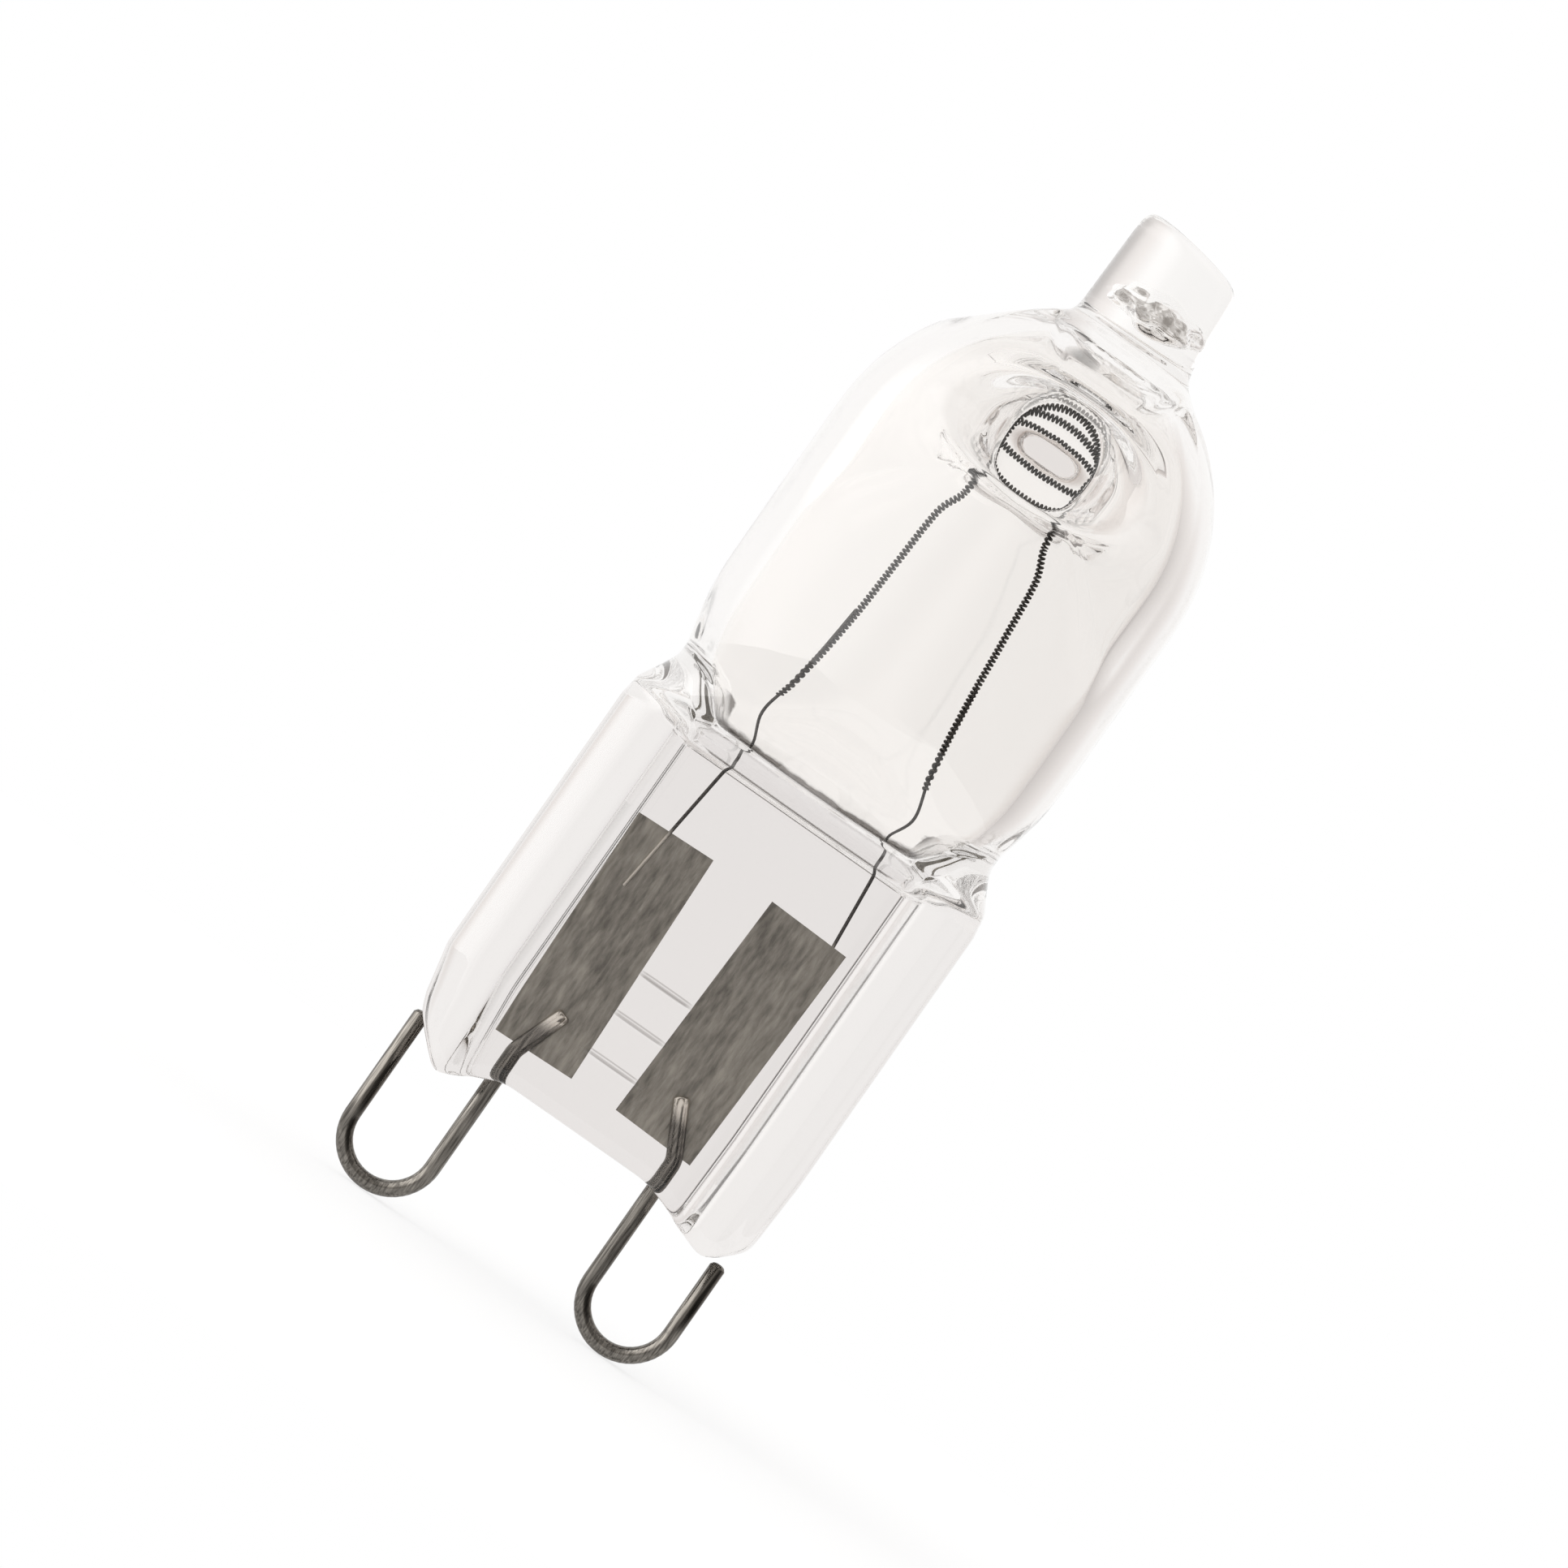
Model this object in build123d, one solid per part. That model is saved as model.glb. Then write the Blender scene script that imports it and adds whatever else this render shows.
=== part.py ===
"""Clear capsule halogen bulb with two wire loops as contacts, in millimetres.

The bulb keeps its own frame. +Z runs up the lamp axis from the contact loops to the sealed tip, X runs
from loop to loop, and the front of the pinch faces -Y. The origin lies on the axis, at the foot of the
pinch between the two loops, where the lamp meets its holder. Values in pairs are for the left and the
right side as seen from the front: a sealed lamp is never quite even.
"""

import os
from math import cos, pi, radians, sin, sqrt, tan

from build123d import *

# Contact loops: each is one wire, from its free end round the loop and up into the glass.
loop_pitch = 9.0
loop_width = 3.0
loop_drop = 5.24
wire_diameter = 0.54
wire_end_round = 0.15
free_end_height = {"left": 0.34, "right": -0.82}
groove_clearance = 0.06

# Sealing foils, which splay outwards towards the bulb, and the wire ends welded to their front.
foil_width = 2.87
foil_length = 8.06
foil_thickness = 0.05
foil_bottom = 1.22
foil_splay = 1.95
foil_inset = {"left": 0.37, "right": 0.82}
weld_length = 1.58
weld_lean = {"left": 0.65, "right": 0.95}
weld_flat = 0.07
wire_bend_below_foil = 0.22
wire_bend_radius = 0.8

# Inner leads, welded to the foils and pushed into the hollow ends of the filament.
lead_diameter = 0.115
lead_flat = 0.02
lead_overlap = 2.18
lead_tail_offset = {"left": 0.47, "right": 1.19}
lead_spread = {"left": 0.10, "right": 0.25}
lead_bend_radius = 2.5
lead_reach = 3.3

# Filament: two legs of fine coil with a knee, and the loose turns wound round the glass bridge. Each half
# turn starts at a distance from the axis and crosses over or under the middle of the bridge.
coil_diameter = 0.26
half_turn_start = (1.5, 1.6, 1.36, 1.36, 1.2)
half_turn_cross = (1.5, 1.45, 1.1, 0.57, 0.55)
half_turn_pitch = 0.15
half_turn_points = 8
leg_spread = {"left": 0.92, "right": 1.14}
leg_bottom_rise = {"left": 1.95, "right": 2.11}
knee_drop = {"left": 2.45, "right": 2.3}
knee_length = {"left": 0.8, "right": 0.95}
knee_spread = {"left": 0.34, "right": 0.40}
knee_radius = 1.0

# Pinch: two thick rails joined by a thinner web.
pinch_width = 13.25
pinch_height = 11.8
rail_thickness = 4.6
rail_corner = 1.1
web_thickness = 2.6
web_width = 8.6
web_end_rise = 0.2
web_draft = 20.0
web_round = 0.5
foot_half_width = 2.75
foot_corner = 0.3
foot_edge_round = 0.25
toe_drop = 0.95
toe_outset = {"left": 0.2, "right": 0.9}
heel_inset = {"left": 0.43, "right": 0.13}
heel_height = {"left": 0.5, "right": 0.0}
side_taper_height = 2.6

# Neck, where the tube is squeezed down to the pinch.
root_rise = 0.5
root_inset = 0.03
root_thickness = 5.2
root_corner = 2.2
shoulder_rise = 0.45
shoulder_inset = 0.16
shoulder_thickness = 7.2
neck_rise = 1.35
neck_inset = 0.46
neck_thickness = 10.9
collar_rise = 1.4
collar_inset = 0.2
collar_thickness = 12.2
collar_length = 1.7
oval_flat = 0.1

# Bulb: a straight tube under a dome that is a little taller than a half ball.
bulb_diameter = 12.66
wall = 1.0
tube_lead = 0.8
tube_length = 5.2
dome_radius = 7.0

# Floor of the cavity, flattened by the squeeze.
floor_rise = 1.15
floor_inset = 0.25
floor_thickness = 3.0
lip_rise = 0.3
lip_outset = 0.1
lip_thickness = 6.2
neck_wall = 1.2

# Glass bridge: two dents pressed into the dome until they nearly meet, with flat floors, flared sideways
# at the mouth, and the narrow bridge where they fused. Each pair is half the width and half the height.
bridge_rise = 2.3
bridge_half = (0.95, 0.34)
bridge_length = 1.1
bulge_half = (2.1, 1.9)
bulge_neck_half = (2.45, 2.0)
bulge_root_half = (4.6, 2.2)
dent_floor_wall = 0.35
dent_floor_half = (1.45, 1.6)
dent_floor_round = 0.3
dent_neck_depth = 2.9
dent_neck_half = (1.75, 1.65)
dent_mouth_half = (4.1, 1.8)
dent_rim_round = 0.4

# Sealed tip of the exhaust tube, a little off the axis and cut off at a slant, with a bubble inside.
tip_offset = 0.07
tip_length = 3.63
tip_root_diameter = 4.2
tip_top_diameter = 3.7
tip_slant = 9.0
tip_root_round = 0.6
tip_top_round = 0.5
crown_flat = 1.6
bubble_diameter = 2.0
bubble_height = 1.6
bubble_rise = 0.43

# Marks that the pressing jaws leave in the glass.
rib_heights = (2.33, 3.76, 5.20)
rib_length = 2.2
rib_width = 0.14
rib_relief = 0.1
rib_offset = -0.2
dimple_diameter = 0.75
dimple_depth = 0.14
dimple_inset = 1.0
dimple_height = 1.95
slot_width = 0.45
slot_depth = 0.12
slot_length = 2.4
slot_inset = 1.3
slot_height = 0.9

# Sizes and heights that follow from the ones above.
SIDES = {"left": -1, "right": 1}
TOUCH = 1e-3
wire_radius = wire_diameter / 2
lead_radius = lead_diameter / 2
coil_radius = coil_diameter / 2
bulb_radius = bulb_diameter / 2
inner_leg = (loop_pitch - loop_width) / 2
loop_bend_height = loop_width / 2 + wire_radius - loop_drop
foil_front = wire_radius - weld_flat
foil_back = foil_front + foil_thickness
foil_top = foil_bottom + foil_length
root_height = pinch_height + root_rise
shoulder_height = root_height + shoulder_rise
neck_height = shoulder_height + neck_rise
collar_height = neck_height + collar_rise
tube_bottom = collar_height + collar_length
neck_top = tube_bottom + tube_lead
dome_base = neck_top + tube_length
dome_centre = bulb_radius - dome_radius
floor_height = pinch_height + floor_rise
lip_height = floor_height + lip_rise
bridge_height = dome_base + bridge_rise
dent_floor = bridge_length / 2 + dent_floor_wall
winding_depth = half_turn_pitch * len(half_turn_start)


def dome_top(curve, opening):
    """Height at which a dome of the given curve has narrowed to an opening."""
    return dome_base + sqrt(curve**2 - (opening / 2 - dome_centre) ** 2)


crown_height = dome_top(dome_radius, tip_top_diameter)
tip_height = crown_height + tip_length


def seam_edges(body, *skins):
    """Edges of a body whose middles lie on the skin of each of the given solids."""

    def on_every_skin(edge):
        middle = Vertex(*(edge @ 0.5))
        return all(min(shell.distance_to(middle) for shell in skin.shells()) < TOUCH for skin in skins)

    return body.edges().filter_by(on_every_skin)


def round_wire(path, diameter):
    """Round section swept along a path."""
    return sweep(Plane(path @ 0, z_dir=path % 0) * Circle(diameter / 2), path=path)


def squeezed_section(width, thickness, corner, height):
    """Level section of the squeezed tube: a rectangle with round corners."""
    return Pos(0, 0, height) * RectangleRounded(width, thickness, corner)


def oval_section(width, thickness, height):
    """The same with corners so large that only a small flat is left of its sides."""
    return squeezed_section(width, thickness, (min(width, thickness) - oval_flat) / 2, height)


def foil_middle(side, height):
    """Distance of a foil's centre line from the lamp axis, at a height."""
    centre = inner_leg - foil_inset[side]
    return centre + (height - (foil_bottom + foil_top) / 2) * tan(radians(foil_splay))


def foil_slab(side, front, back):
    """Slab with the outline of one foil, between two depths."""
    height = (foil_bottom + foil_top) / 2
    place = Pos(SIDES[side] * foil_middle(side, height), (front + back) / 2, height)
    return place * Rot(0, SIDES[side] * foil_splay, 0) * Box(foil_width, back - front, foil_length)


def contact_loop(side):
    """Loop with a free outer end, and an inner leg that bends in to its flat weld on the foil."""
    sign = SIDES[side]
    outer = sign * (inner_leg + loop_width)
    inner = sign * inner_leg
    weld = (inner - sign * weld_lean[side], 0, foil_bottom + weld_length)
    down = Line((outer, 0, free_end_height[side]), (outer, 0, loop_bend_height))
    lowest = ((outer + inner) / 2, 0, loop_bend_height - loop_width / 2)
    bend = ThreePointArc(down @ 1, lowest, (inner, 0, loop_bend_height))
    corner = (inner, 0, foil_bottom - wire_bend_below_foil)
    up = FilletPolyline(bend @ 1, corner, weld, radius=[wire_bend_radius])
    wire = round_wire(Curve() + [down, bend, up], wire_diameter)
    free_end = wire.faces().sort_by_distance(down @ 0)[0]
    wire = fillet(free_end.edges(), wire_end_round)
    return wire - foil_slab(side, foil_front, foil_front + wire_diameter)


def leg_corners(side):
    """Corners of one filament leg: its open mouth, the two bends of its knee and its start on the turns."""
    sign = SIDES[side]
    start = Vector(sign * half_turn_start[0], sign * winding_depth / 2, bridge_height)
    high = start - Vector(0, 0, knee_drop[side])
    low = high + Vector(sign * knee_spread[side], 0, -knee_length[side])
    mouth = Vector(start.X + sign * leg_spread[side], 0, floor_height + leg_bottom_rise[side])
    return [mouth, low, high, start]


def winding():
    """Line of the turns, which run from the left leg over and under the bridge to the right leg."""
    points = []
    for n, (start, cross) in enumerate(zip(half_turn_start, half_turn_cross)):
        over = 1 if n % 2 == 0 else -1
        for step in range(half_turn_points):
            share = step / half_turn_points
            depth = half_turn_pitch * (n + share) - winding_depth / 2
            x = -over * start * cos(pi * share)
            points.append((x, depth, bridge_height + over * cross * sin(pi * share)))
    points.append((half_turn_start[0], winding_depth / 2, bridge_height))
    return Spline(*points, tangents=[(0, 0, 1), (0, 0, -1)])


def inner_lead(side):
    """Fine lead, flattened where it lies on its foil: in front of the left one, behind the right one."""
    sign = SIDES[side]
    lift = lead_radius - lead_flat
    depth = foil_front - lift if side == "left" else foil_back + lift
    mouth, bend = leg_corners(side)[:2]
    tail_height = foil_top - lead_overlap
    tail = Vector(sign * (foil_middle(side, tail_height) + lead_tail_offset[side]), depth, tail_height)
    rise = Vector(mouth.X + sign * lead_spread[side], depth, floor_height)
    tip = mouth + (bend - mouth).normalized() * lead_reach
    path = FilletPolyline(tail, rise, mouth, tip, radius=[lead_bend_radius] * 2)
    lead = round_wire(path, lead_diameter)
    if side == "left":
        return lead - foil_slab(side, foil_front, foil_front + lead_diameter)
    return lead - foil_slab(side, foil_back - lead_diameter, foil_back)


def filament(leads):
    """Body of the fine coil: up one leg, round the bridge and down the other, hollow round the leads."""
    left = FilletPolyline(*leg_corners("left"), radius=[knee_radius] * 2)
    right = FilletPolyline(*reversed(leg_corners("right")), radius=[knee_radius] * 2)
    return round_wire(Curve() + [left, winding(), right], coil_diameter) - leads


def bulb_blank(inset, opening):
    """Body of revolution, drawn in by an inset: the straight tube and the dome up to an opening."""
    radius = bulb_radius - inset
    curve = dome_radius - inset
    top = dome_top(curve, opening)
    side = Polyline((0, 0, neck_top), (radius, 0, neck_top), (radius, 0, dome_base))
    halfway = (dome_centre + curve * sqrt(0.5), 0, dome_base + curve * sqrt(0.5))
    dome = ThreePointArc(side @ 1, halfway, (opening / 2, 0, top))
    lid = Polyline(dome @ 1, (0, 0, top), (0, 0, neck_top))
    return revolve(make_face(Curve() + [side, dome, lid]), Axis.Z)


def sealed_tip():
    """Stub of the exhaust tube, rooted in the dome, melted shut and cut off at a slant."""
    slope = (tip_root_diameter - tip_top_diameter) / 2 / tip_length
    root = 2 * wall
    spare = tip_top_diameter / 2
    root_radius = tip_root_diameter / 2 + slope * root
    top_radius = tip_top_diameter / 2 - slope * spare
    height = root + tip_length + spare
    stub = Pos(tip_offset, 0, crown_height - root + height / 2) * Cone(root_radius, top_radius, height)
    beyond = Pos(0, 0, tip_length) * Box(*3 * [2 * tip_length])
    stub -= Pos(tip_offset, 0, tip_height) * Rot(0, tip_slant, 0) * beyond
    return fillet(stub.faces().sort_by(Axis.Z)[-1].edges(), tip_top_round)


def funnels(*sections):
    """Front and back funnel through oval sections, each given by its depth and half sizes."""
    ovals = [Plane.XZ.offset(depth) * Pos(0, bridge_height) * Ellipse(*half) for depth, half in sections]
    front = loft(ovals, ruled=True)
    return front + mirror(front, Plane.XZ)


def dents():
    """What the punches press away: a shaft with a flat end that flares sideways at the mouth."""
    pair = funnels(
        (dent_floor, dent_floor_half),
        (dent_neck_depth, dent_neck_half),
        (bulb_radius, dent_mouth_half),
    )
    floors = pair.faces().filter_by(Axis.Y).filter_by(lambda face: abs(face.center().Y) < dent_neck_depth)
    return fillet(floors.edges(), dent_floor_round)


def bridge():
    """Glass between the dents as the cavity meets it: a narrow bridge and the bulge round each dent."""
    outline = Plane.XZ * Pos(0, bridge_height) * Ellipse(*bridge_half)
    return extrude(outline, bridge_length / 2, both=True) + funnels(
        (bridge_length / 2, bulge_half),
        (dent_neck_depth, bulge_neck_half),
        (bulb_radius, bulge_root_half),
    )


def dented_bulb():
    """Outside of the bulb with its tip and both dents, whose rims the flame has rounded."""
    blank = bulb_blank(0, tip_top_diameter)
    tip = sealed_tip()
    bulb = blank + tip
    bulb = fillet(seam_edges(bulb, blank, tip), tip_root_round)
    pressed = dents()
    dented = bulb - pressed
    return fillet(seam_edges(dented, bulb, pressed), dent_rim_round)


def pinch_outline():
    """Front outline of the pinch: the foot of the web in the middle and a drooping toe under each rail."""
    half = pinch_width / 2
    middle = loop_pitch / 2
    points = [
        (-half, pinch_height),
        (-half, side_taper_height),
        (heel_inset["left"] - half, heel_height["left"]),
        (-middle - toe_outset["left"], -toe_drop),
        (-foot_half_width, 0),
        (foot_half_width, 0),
        (middle + toe_outset["right"], -toe_drop),
        (half - heel_inset["right"], heel_height["right"]),
        (half, side_taper_height),
        (half, pinch_height),
    ]
    rounds = [0] + [foot_corner] * (len(points) - 2) + [0]
    return make_face(FilletPolyline(*points, radius=rounds, close=True))


def pinch_blank():
    """Pinch before the web is pressed: the front outline, rounded below, within the plan outline."""
    slab = extrude(Plane.XZ * pinch_outline(), rail_thickness / 2, both=True)
    faces = slab.faces().filter_by(Axis.Y)
    rim = faces.edges().sort_by(Axis.Z)[:-2]
    slab = fillet(rim, foot_edge_round)
    low = -2 * toe_drop
    plan = squeezed_section(pinch_width, rail_thickness, rail_corner, low)
    return slab & extrude(plan, pinch_height - low)


def neck():
    """Squeezed glass between the pinch and the round tube."""
    return loft([
        squeezed_section(pinch_width, rail_thickness, rail_corner, pinch_height),
        squeezed_section(pinch_width - 2 * root_inset, root_thickness, root_corner, root_height),
        oval_section(pinch_width - 2 * shoulder_inset, shoulder_thickness, shoulder_height),
        oval_section(bulb_diameter - 2 * neck_inset, neck_thickness, neck_height),
        oval_section(bulb_diameter - 2 * collar_inset, collar_thickness, collar_height),
        oval_section(bulb_diameter, bulb_diameter, tube_bottom),
        oval_section(bulb_diameter, bulb_diameter, neck_top),
    ])


def web_recess():
    """What the jaws press away in front of the web and behind it."""
    low = -3 * toe_drop
    top = pinch_height + web_end_rise
    face = Pos(0, (low + top) / 2) * Rectangle(web_width, top - low)
    front = extrude(Plane.XZ.offset(web_thickness / 2) * face, rail_thickness / 2, taper=-web_draft)
    return front + mirror(front, Plane.XZ)


def jaw_marks():
    """Marks of one jaw on the rails: a round dimple on the left and an upright slot on the right."""
    face = -rail_thickness / 2
    ball = (dimple_diameter**2 / 4 + dimple_depth**2) / (2 * dimple_depth)
    dimple = Pos(dimple_inset - pinch_width / 2, face - ball + dimple_depth, dimple_height) * Sphere(ball)
    roller = (slot_width**2 / 4 + slot_depth**2) / (2 * slot_depth)
    slot = Pos(pinch_width / 2 - slot_inset, face - roller + slot_depth, slot_height)
    return dimple + slot * Cylinder(roller, slot_length)


def pressed_end():
    """Neck and pinch with the web, the ribs across it and the marks of both jaws."""
    blank = pinch_blank() + neck()
    pressed = blank - web_recess()
    webs = pressed.faces().filter_by(Axis.Y).sort_by(SortBy.AREA)[-2:]
    corners = webs.edges().filter_by(lambda edge: (edge @ 0.5).Z > foil_bottom)
    pressed = fillet(corners, web_round)
    for height in rib_heights:
        rib = Box(rib_length, 2 * rib_relief, rib_width)
        pressed += Pos(rib_offset, -web_thickness / 2, height) * rib
    marks = jaw_marks()
    return pressed - marks - Rot(0, 0, 180) * marks


def tip_bubble():
    """Bubble that the melting glass shut in where the exhaust bore was."""
    bubble = scale(Sphere(bubble_diameter / 2), (1, 1, bubble_height / bubble_diameter))
    return Pos(tip_offset, 0, crown_height + bubble_rise + bubble_height / 2) * bubble


def cavity():
    """Inside of the bulb: dome and tube round the bridge, the flattened floor and the bubble in the tip."""
    inside = bulb_blank(wall, crown_flat) - bridge()
    bore = bulb_diameter - 2 * wall
    inside += loft([
        oval_section(web_width - 2 * floor_inset, floor_thickness, floor_height),
        oval_section(web_width + 2 * lip_outset, lip_thickness, lip_height),
        oval_section(bore - 2 * neck_inset, neck_thickness - 2 * neck_wall, neck_height),
        oval_section(bore - 2 * collar_inset, collar_thickness - 2 * wall, collar_height),
        oval_section(bore, bore, tube_bottom),
        oval_section(bore, bore, neck_top),
    ])
    return inside + tip_bubble()


def wire_groove(side):
    """Room in the rail for the free end of a loop."""
    low = loop_bend_height
    height = free_end_height[side] + groove_clearance - low
    x = SIDES[side] * (inner_leg + loop_width)
    return Pos(x, 0, low + height / 2) * Cylinder(wire_radius + groove_clearance, height)


def quartz_envelope(metal):
    """Bulb, neck and pinch as one piece of glass, closed round the metal that is sealed into it."""
    glass = dented_bulb() + pressed_end() - cavity()
    for side in SIDES:
        glass -= wire_groove(side)
    for piece in metal:
        glass -= piece
    return glass


loops = {side: contact_loop(side) for side in SIDES}
foils = {side: foil_slab(side, foil_front, foil_back) for side in SIDES}
leads = {side: inner_lead(side) for side in SIDES}
pieces = {"filament": filament(list(leads.values()))}
for side in SIDES:
    pieces[f"contact_loop_{side}"] = loops[side]
    pieces[f"seal_foil_{side}"] = foils[side]
    pieces[f"inner_lead_{side}"] = leads[side]
sealed_in = [*foils.values(), *loops.values(), *leads.values()]
pieces["quartz_envelope"] = quartz_envelope(sealed_in)

os.makedirs("parts", exist_ok=True)
for name, piece in pieces.items():
    export_step(piece, f"parts/{name}.step")
    print(name, round(piece.volume, 3), "mm3")
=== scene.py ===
# %% [markdown]
# # A clear halogen bulb
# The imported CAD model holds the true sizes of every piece. This lesson dresses it: the quartz glass and the
# wires are modelled again with smooth skins, because flat facets would break up every line seen through
# clear glass, and each metal gets the finish that it has in a real lamp.

# %% Load the frame
from math import atan2, cos, hypot, pi, radians, sin, sqrt, tan

import bmesh
import bpy
from mathutils import Matrix, Vector, noise


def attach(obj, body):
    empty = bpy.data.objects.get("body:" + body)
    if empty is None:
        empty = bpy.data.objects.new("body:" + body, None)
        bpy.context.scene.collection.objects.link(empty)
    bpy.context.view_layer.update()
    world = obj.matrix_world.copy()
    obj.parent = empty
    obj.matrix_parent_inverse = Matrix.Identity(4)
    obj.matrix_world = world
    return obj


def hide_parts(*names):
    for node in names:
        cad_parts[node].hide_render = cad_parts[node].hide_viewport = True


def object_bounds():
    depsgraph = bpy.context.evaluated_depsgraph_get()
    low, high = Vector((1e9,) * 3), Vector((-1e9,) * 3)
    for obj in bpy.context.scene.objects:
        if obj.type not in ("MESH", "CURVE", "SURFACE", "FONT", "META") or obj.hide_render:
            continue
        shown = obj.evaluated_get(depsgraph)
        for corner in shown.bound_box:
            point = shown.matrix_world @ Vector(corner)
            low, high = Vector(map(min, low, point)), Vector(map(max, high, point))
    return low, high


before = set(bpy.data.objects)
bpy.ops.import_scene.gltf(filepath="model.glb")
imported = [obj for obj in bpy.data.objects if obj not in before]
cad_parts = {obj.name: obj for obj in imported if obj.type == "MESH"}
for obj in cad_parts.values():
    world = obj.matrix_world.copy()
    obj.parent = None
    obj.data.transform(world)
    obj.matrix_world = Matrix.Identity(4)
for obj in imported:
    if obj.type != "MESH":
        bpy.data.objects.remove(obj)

MM = 0.001
cad_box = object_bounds()
print("CAD nodes:", sorted(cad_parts))

# %% [markdown]
# ## Units and blends
# The lamp stands on its contact loops, Z runs up to the sealed tip, and the front faces -Y. The sizes below are
# those of the solids. The modelling is done in millimetres, and each finished mesh is brought to metres at the
# end. Two small functions blend between values, straight or with a soft start and end.

# %% Blends
def lerp(a, b, share):
    """Value a share of the way from one to another."""
    return a + (b - a) * share


def ease(share):
    """Soft step from 0 to 1."""
    share = min(max(share, 0.0), 1.0)
    return share * share * (3 - 2 * share)


# %% [markdown]
# ## Outlines
# A sealed tube is best thought of as a stack of level outlines. Each one here has the same number of points,
# so that the rings join point to point: a rounded rectangle where the tube is squeezed, a circle where it is
# still a tube, and an outline with two thick rails and a thin web in the pinch. The columns stand closer on
# the sides of the bulb, which leaves a wide even block of faces at the front and the back for the dents.

# %% Outlines of a quarter
COLUMNS = 96
QUARTER = COLUMNS // 4
BLOCK = 12
SIDE_TURN = radians(32.0)
round_shares = []
for k in range(QUARTER + 1):
    if k <= BLOCK:
        turn = SIDE_TURN * k / BLOCK
    else:
        turn = lerp(SIDE_TURN, pi / 2, (k - BLOCK) / (QUARTER - BLOCK))
    round_shares.append(turn / (pi / 2))
even_shares = [k / QUARTER for k in range(QUARTER + 1)]


def rounded_quarter(width, depth, corner, shares):
    """Quarter of a rounded rectangle, from the middle of its side to the middle of its front."""
    side = depth / 2 - corner
    arc = pi / 2 * corner
    total = side + arc + width / 2 - corner
    points = []
    for share in shares:
        run = share * total
        if run <= side:
            points.append((width / 2, run))
        elif run <= side + arc:
            turn = (run - side) / corner
            points.append((width / 2 - corner + corner * cos(turn), side + corner * sin(turn)))
        else:
            points.append((width / 2 - corner - (run - side - arc), depth / 2))
    return points


# %% [markdown]
# ## Outline of the pinch
# The jaws leave two thick rails at the sides and press the web between them thin. Its outline could be cut from a
# block, but as a row of points it joins the other rings. The blank is the same outline before the web is pressed.

# %% Pinch outline
PINCH_HALF = 6.625
RAIL, RAIL_CORNER = 2.3, 1.1
WEB = 1.3
rail_start = PINCH_HALF - RAIL_CORNER
pinch_quarter = [(PINCH_HALF, y) for y in (0.0, 0.45, 0.85, 1.12)]
for degrees in (22.5, 45.0, 67.5):
    turn = radians(degrees)
    pinch_quarter.append((rail_start + RAIL_CORNER * cos(turn), RAIL - RAIL_CORNER * (1 - sin(turn))))
pinch_quarter += [(rail_start, RAIL), (5.25, RAIL), (4.95, RAIL), (4.77, RAIL)]
pinch_quarter += [(4.67, 2.25), (4.62, 2.12), (4.5, 1.82), (4.42, 1.6), (4.27, 1.38), (4.0, WEB)]
pinch_quarter += [(x, WEB) for x in (3.55, 3.05, 2.55, 2.05, 1.55, 1.05, 0.5, 0.0)]
blank_quarter = [(x, y if k < 7 else RAIL) for k, (x, y) in enumerate(pinch_quarter)]
blank_length = RAIL - RAIL_CORNER + pi / 2 * RAIL_CORNER + rail_start
blank_shares = [y / blank_length for _, y in pinch_quarter[:4]]
blank_shares += [(RAIL - RAIL_CORNER + pi / 2 * RAIL_CORNER * s / 4) / blank_length for s in (1, 2, 3)]
blank_shares += [1 - x / blank_length for x, _ in pinch_quarter[7:]]
print("points in a quarter:", len(pinch_quarter), len(round_shares))


def mixed_shares(first, second, share):
    """Point shares between two ways of spacing them."""
    return [lerp(a, b, share) for a, b in zip(first, second)]


# %% [markdown]
# ## From outline to ring
# The glass is nearly the same on all four sides of the lamp's axis. So a quarter outline becomes a full ring by
# mirroring it left to right and front to back.

# %% Rings
def corner_of(column):
    """Place of a column in its quarter, and the signs of its x and y."""
    quarter, k = divmod(column, QUARTER)
    if quarter % 2:
        k = QUARTER - k
    return k, (1 if quarter in (0, 3) else -1), (1 if quarter in (0, 1) else -1)


def ring_of(points, height, centre=0.0):
    """Full level ring from a quarter outline."""
    ring = []
    for column in range(COLUMNS):
        k, sx, sy = corner_of(column)
        x, y = points[k]
        ring.append(Vector((centre + sx * x, sy * y, height)))
    return ring


def round_ring(radius, height, centre=0.0):
    """Circle with the columns' spacing."""
    return ring_of([(radius * cos(s * pi / 2), radius * sin(s * pi / 2)) for s in round_shares], height, centre)


# %% [markdown]
# ## Curves between outlines
# Softened glass flows in long curves when jaws close on it. Straight runs between a few key outlines would show
# as kinks in the reflections, so each point follows a smooth cubic curve through them.

# %% Curves through key outlines
def along_keys(keys, height):
    """Quarter outline at a height, on smooth curves through the key outlines."""
    heights = [key[0] for key in keys]
    if height <= heights[0]:
        return keys[0][1]
    if height >= heights[-1]:
        return keys[-1][1]
    n = max(j for j, h in enumerate(heights) if h <= height)
    span = heights[n + 1] - heights[n]
    t = (height - heights[n]) / span

    def slope(j, k, axis):
        if j in (0, len(keys) - 1):
            return 0.0
        rise = keys[j + 1][1][k][axis] - keys[j - 1][1][k][axis]
        return rise / (heights[j + 1] - heights[j - 1])

    points = []
    for k in range(QUARTER + 1):
        values = []
        for axis in (0, 1):
            a, b = keys[n][1][k][axis], keys[n + 1][1][k][axis]
            ta, tb = slope(n, k, axis) * span, slope(n + 1, k, axis) * span
            values.append(
                a * (2 * t**3 - 3 * t**2 + 1)
                + ta * (t**3 - 2 * t**2 + t)
                + b * (3 * t**2 - 2 * t**3)
                + tb * (t**3 - t**2)
            )
        points.append(tuple(values))
    return points


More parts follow.
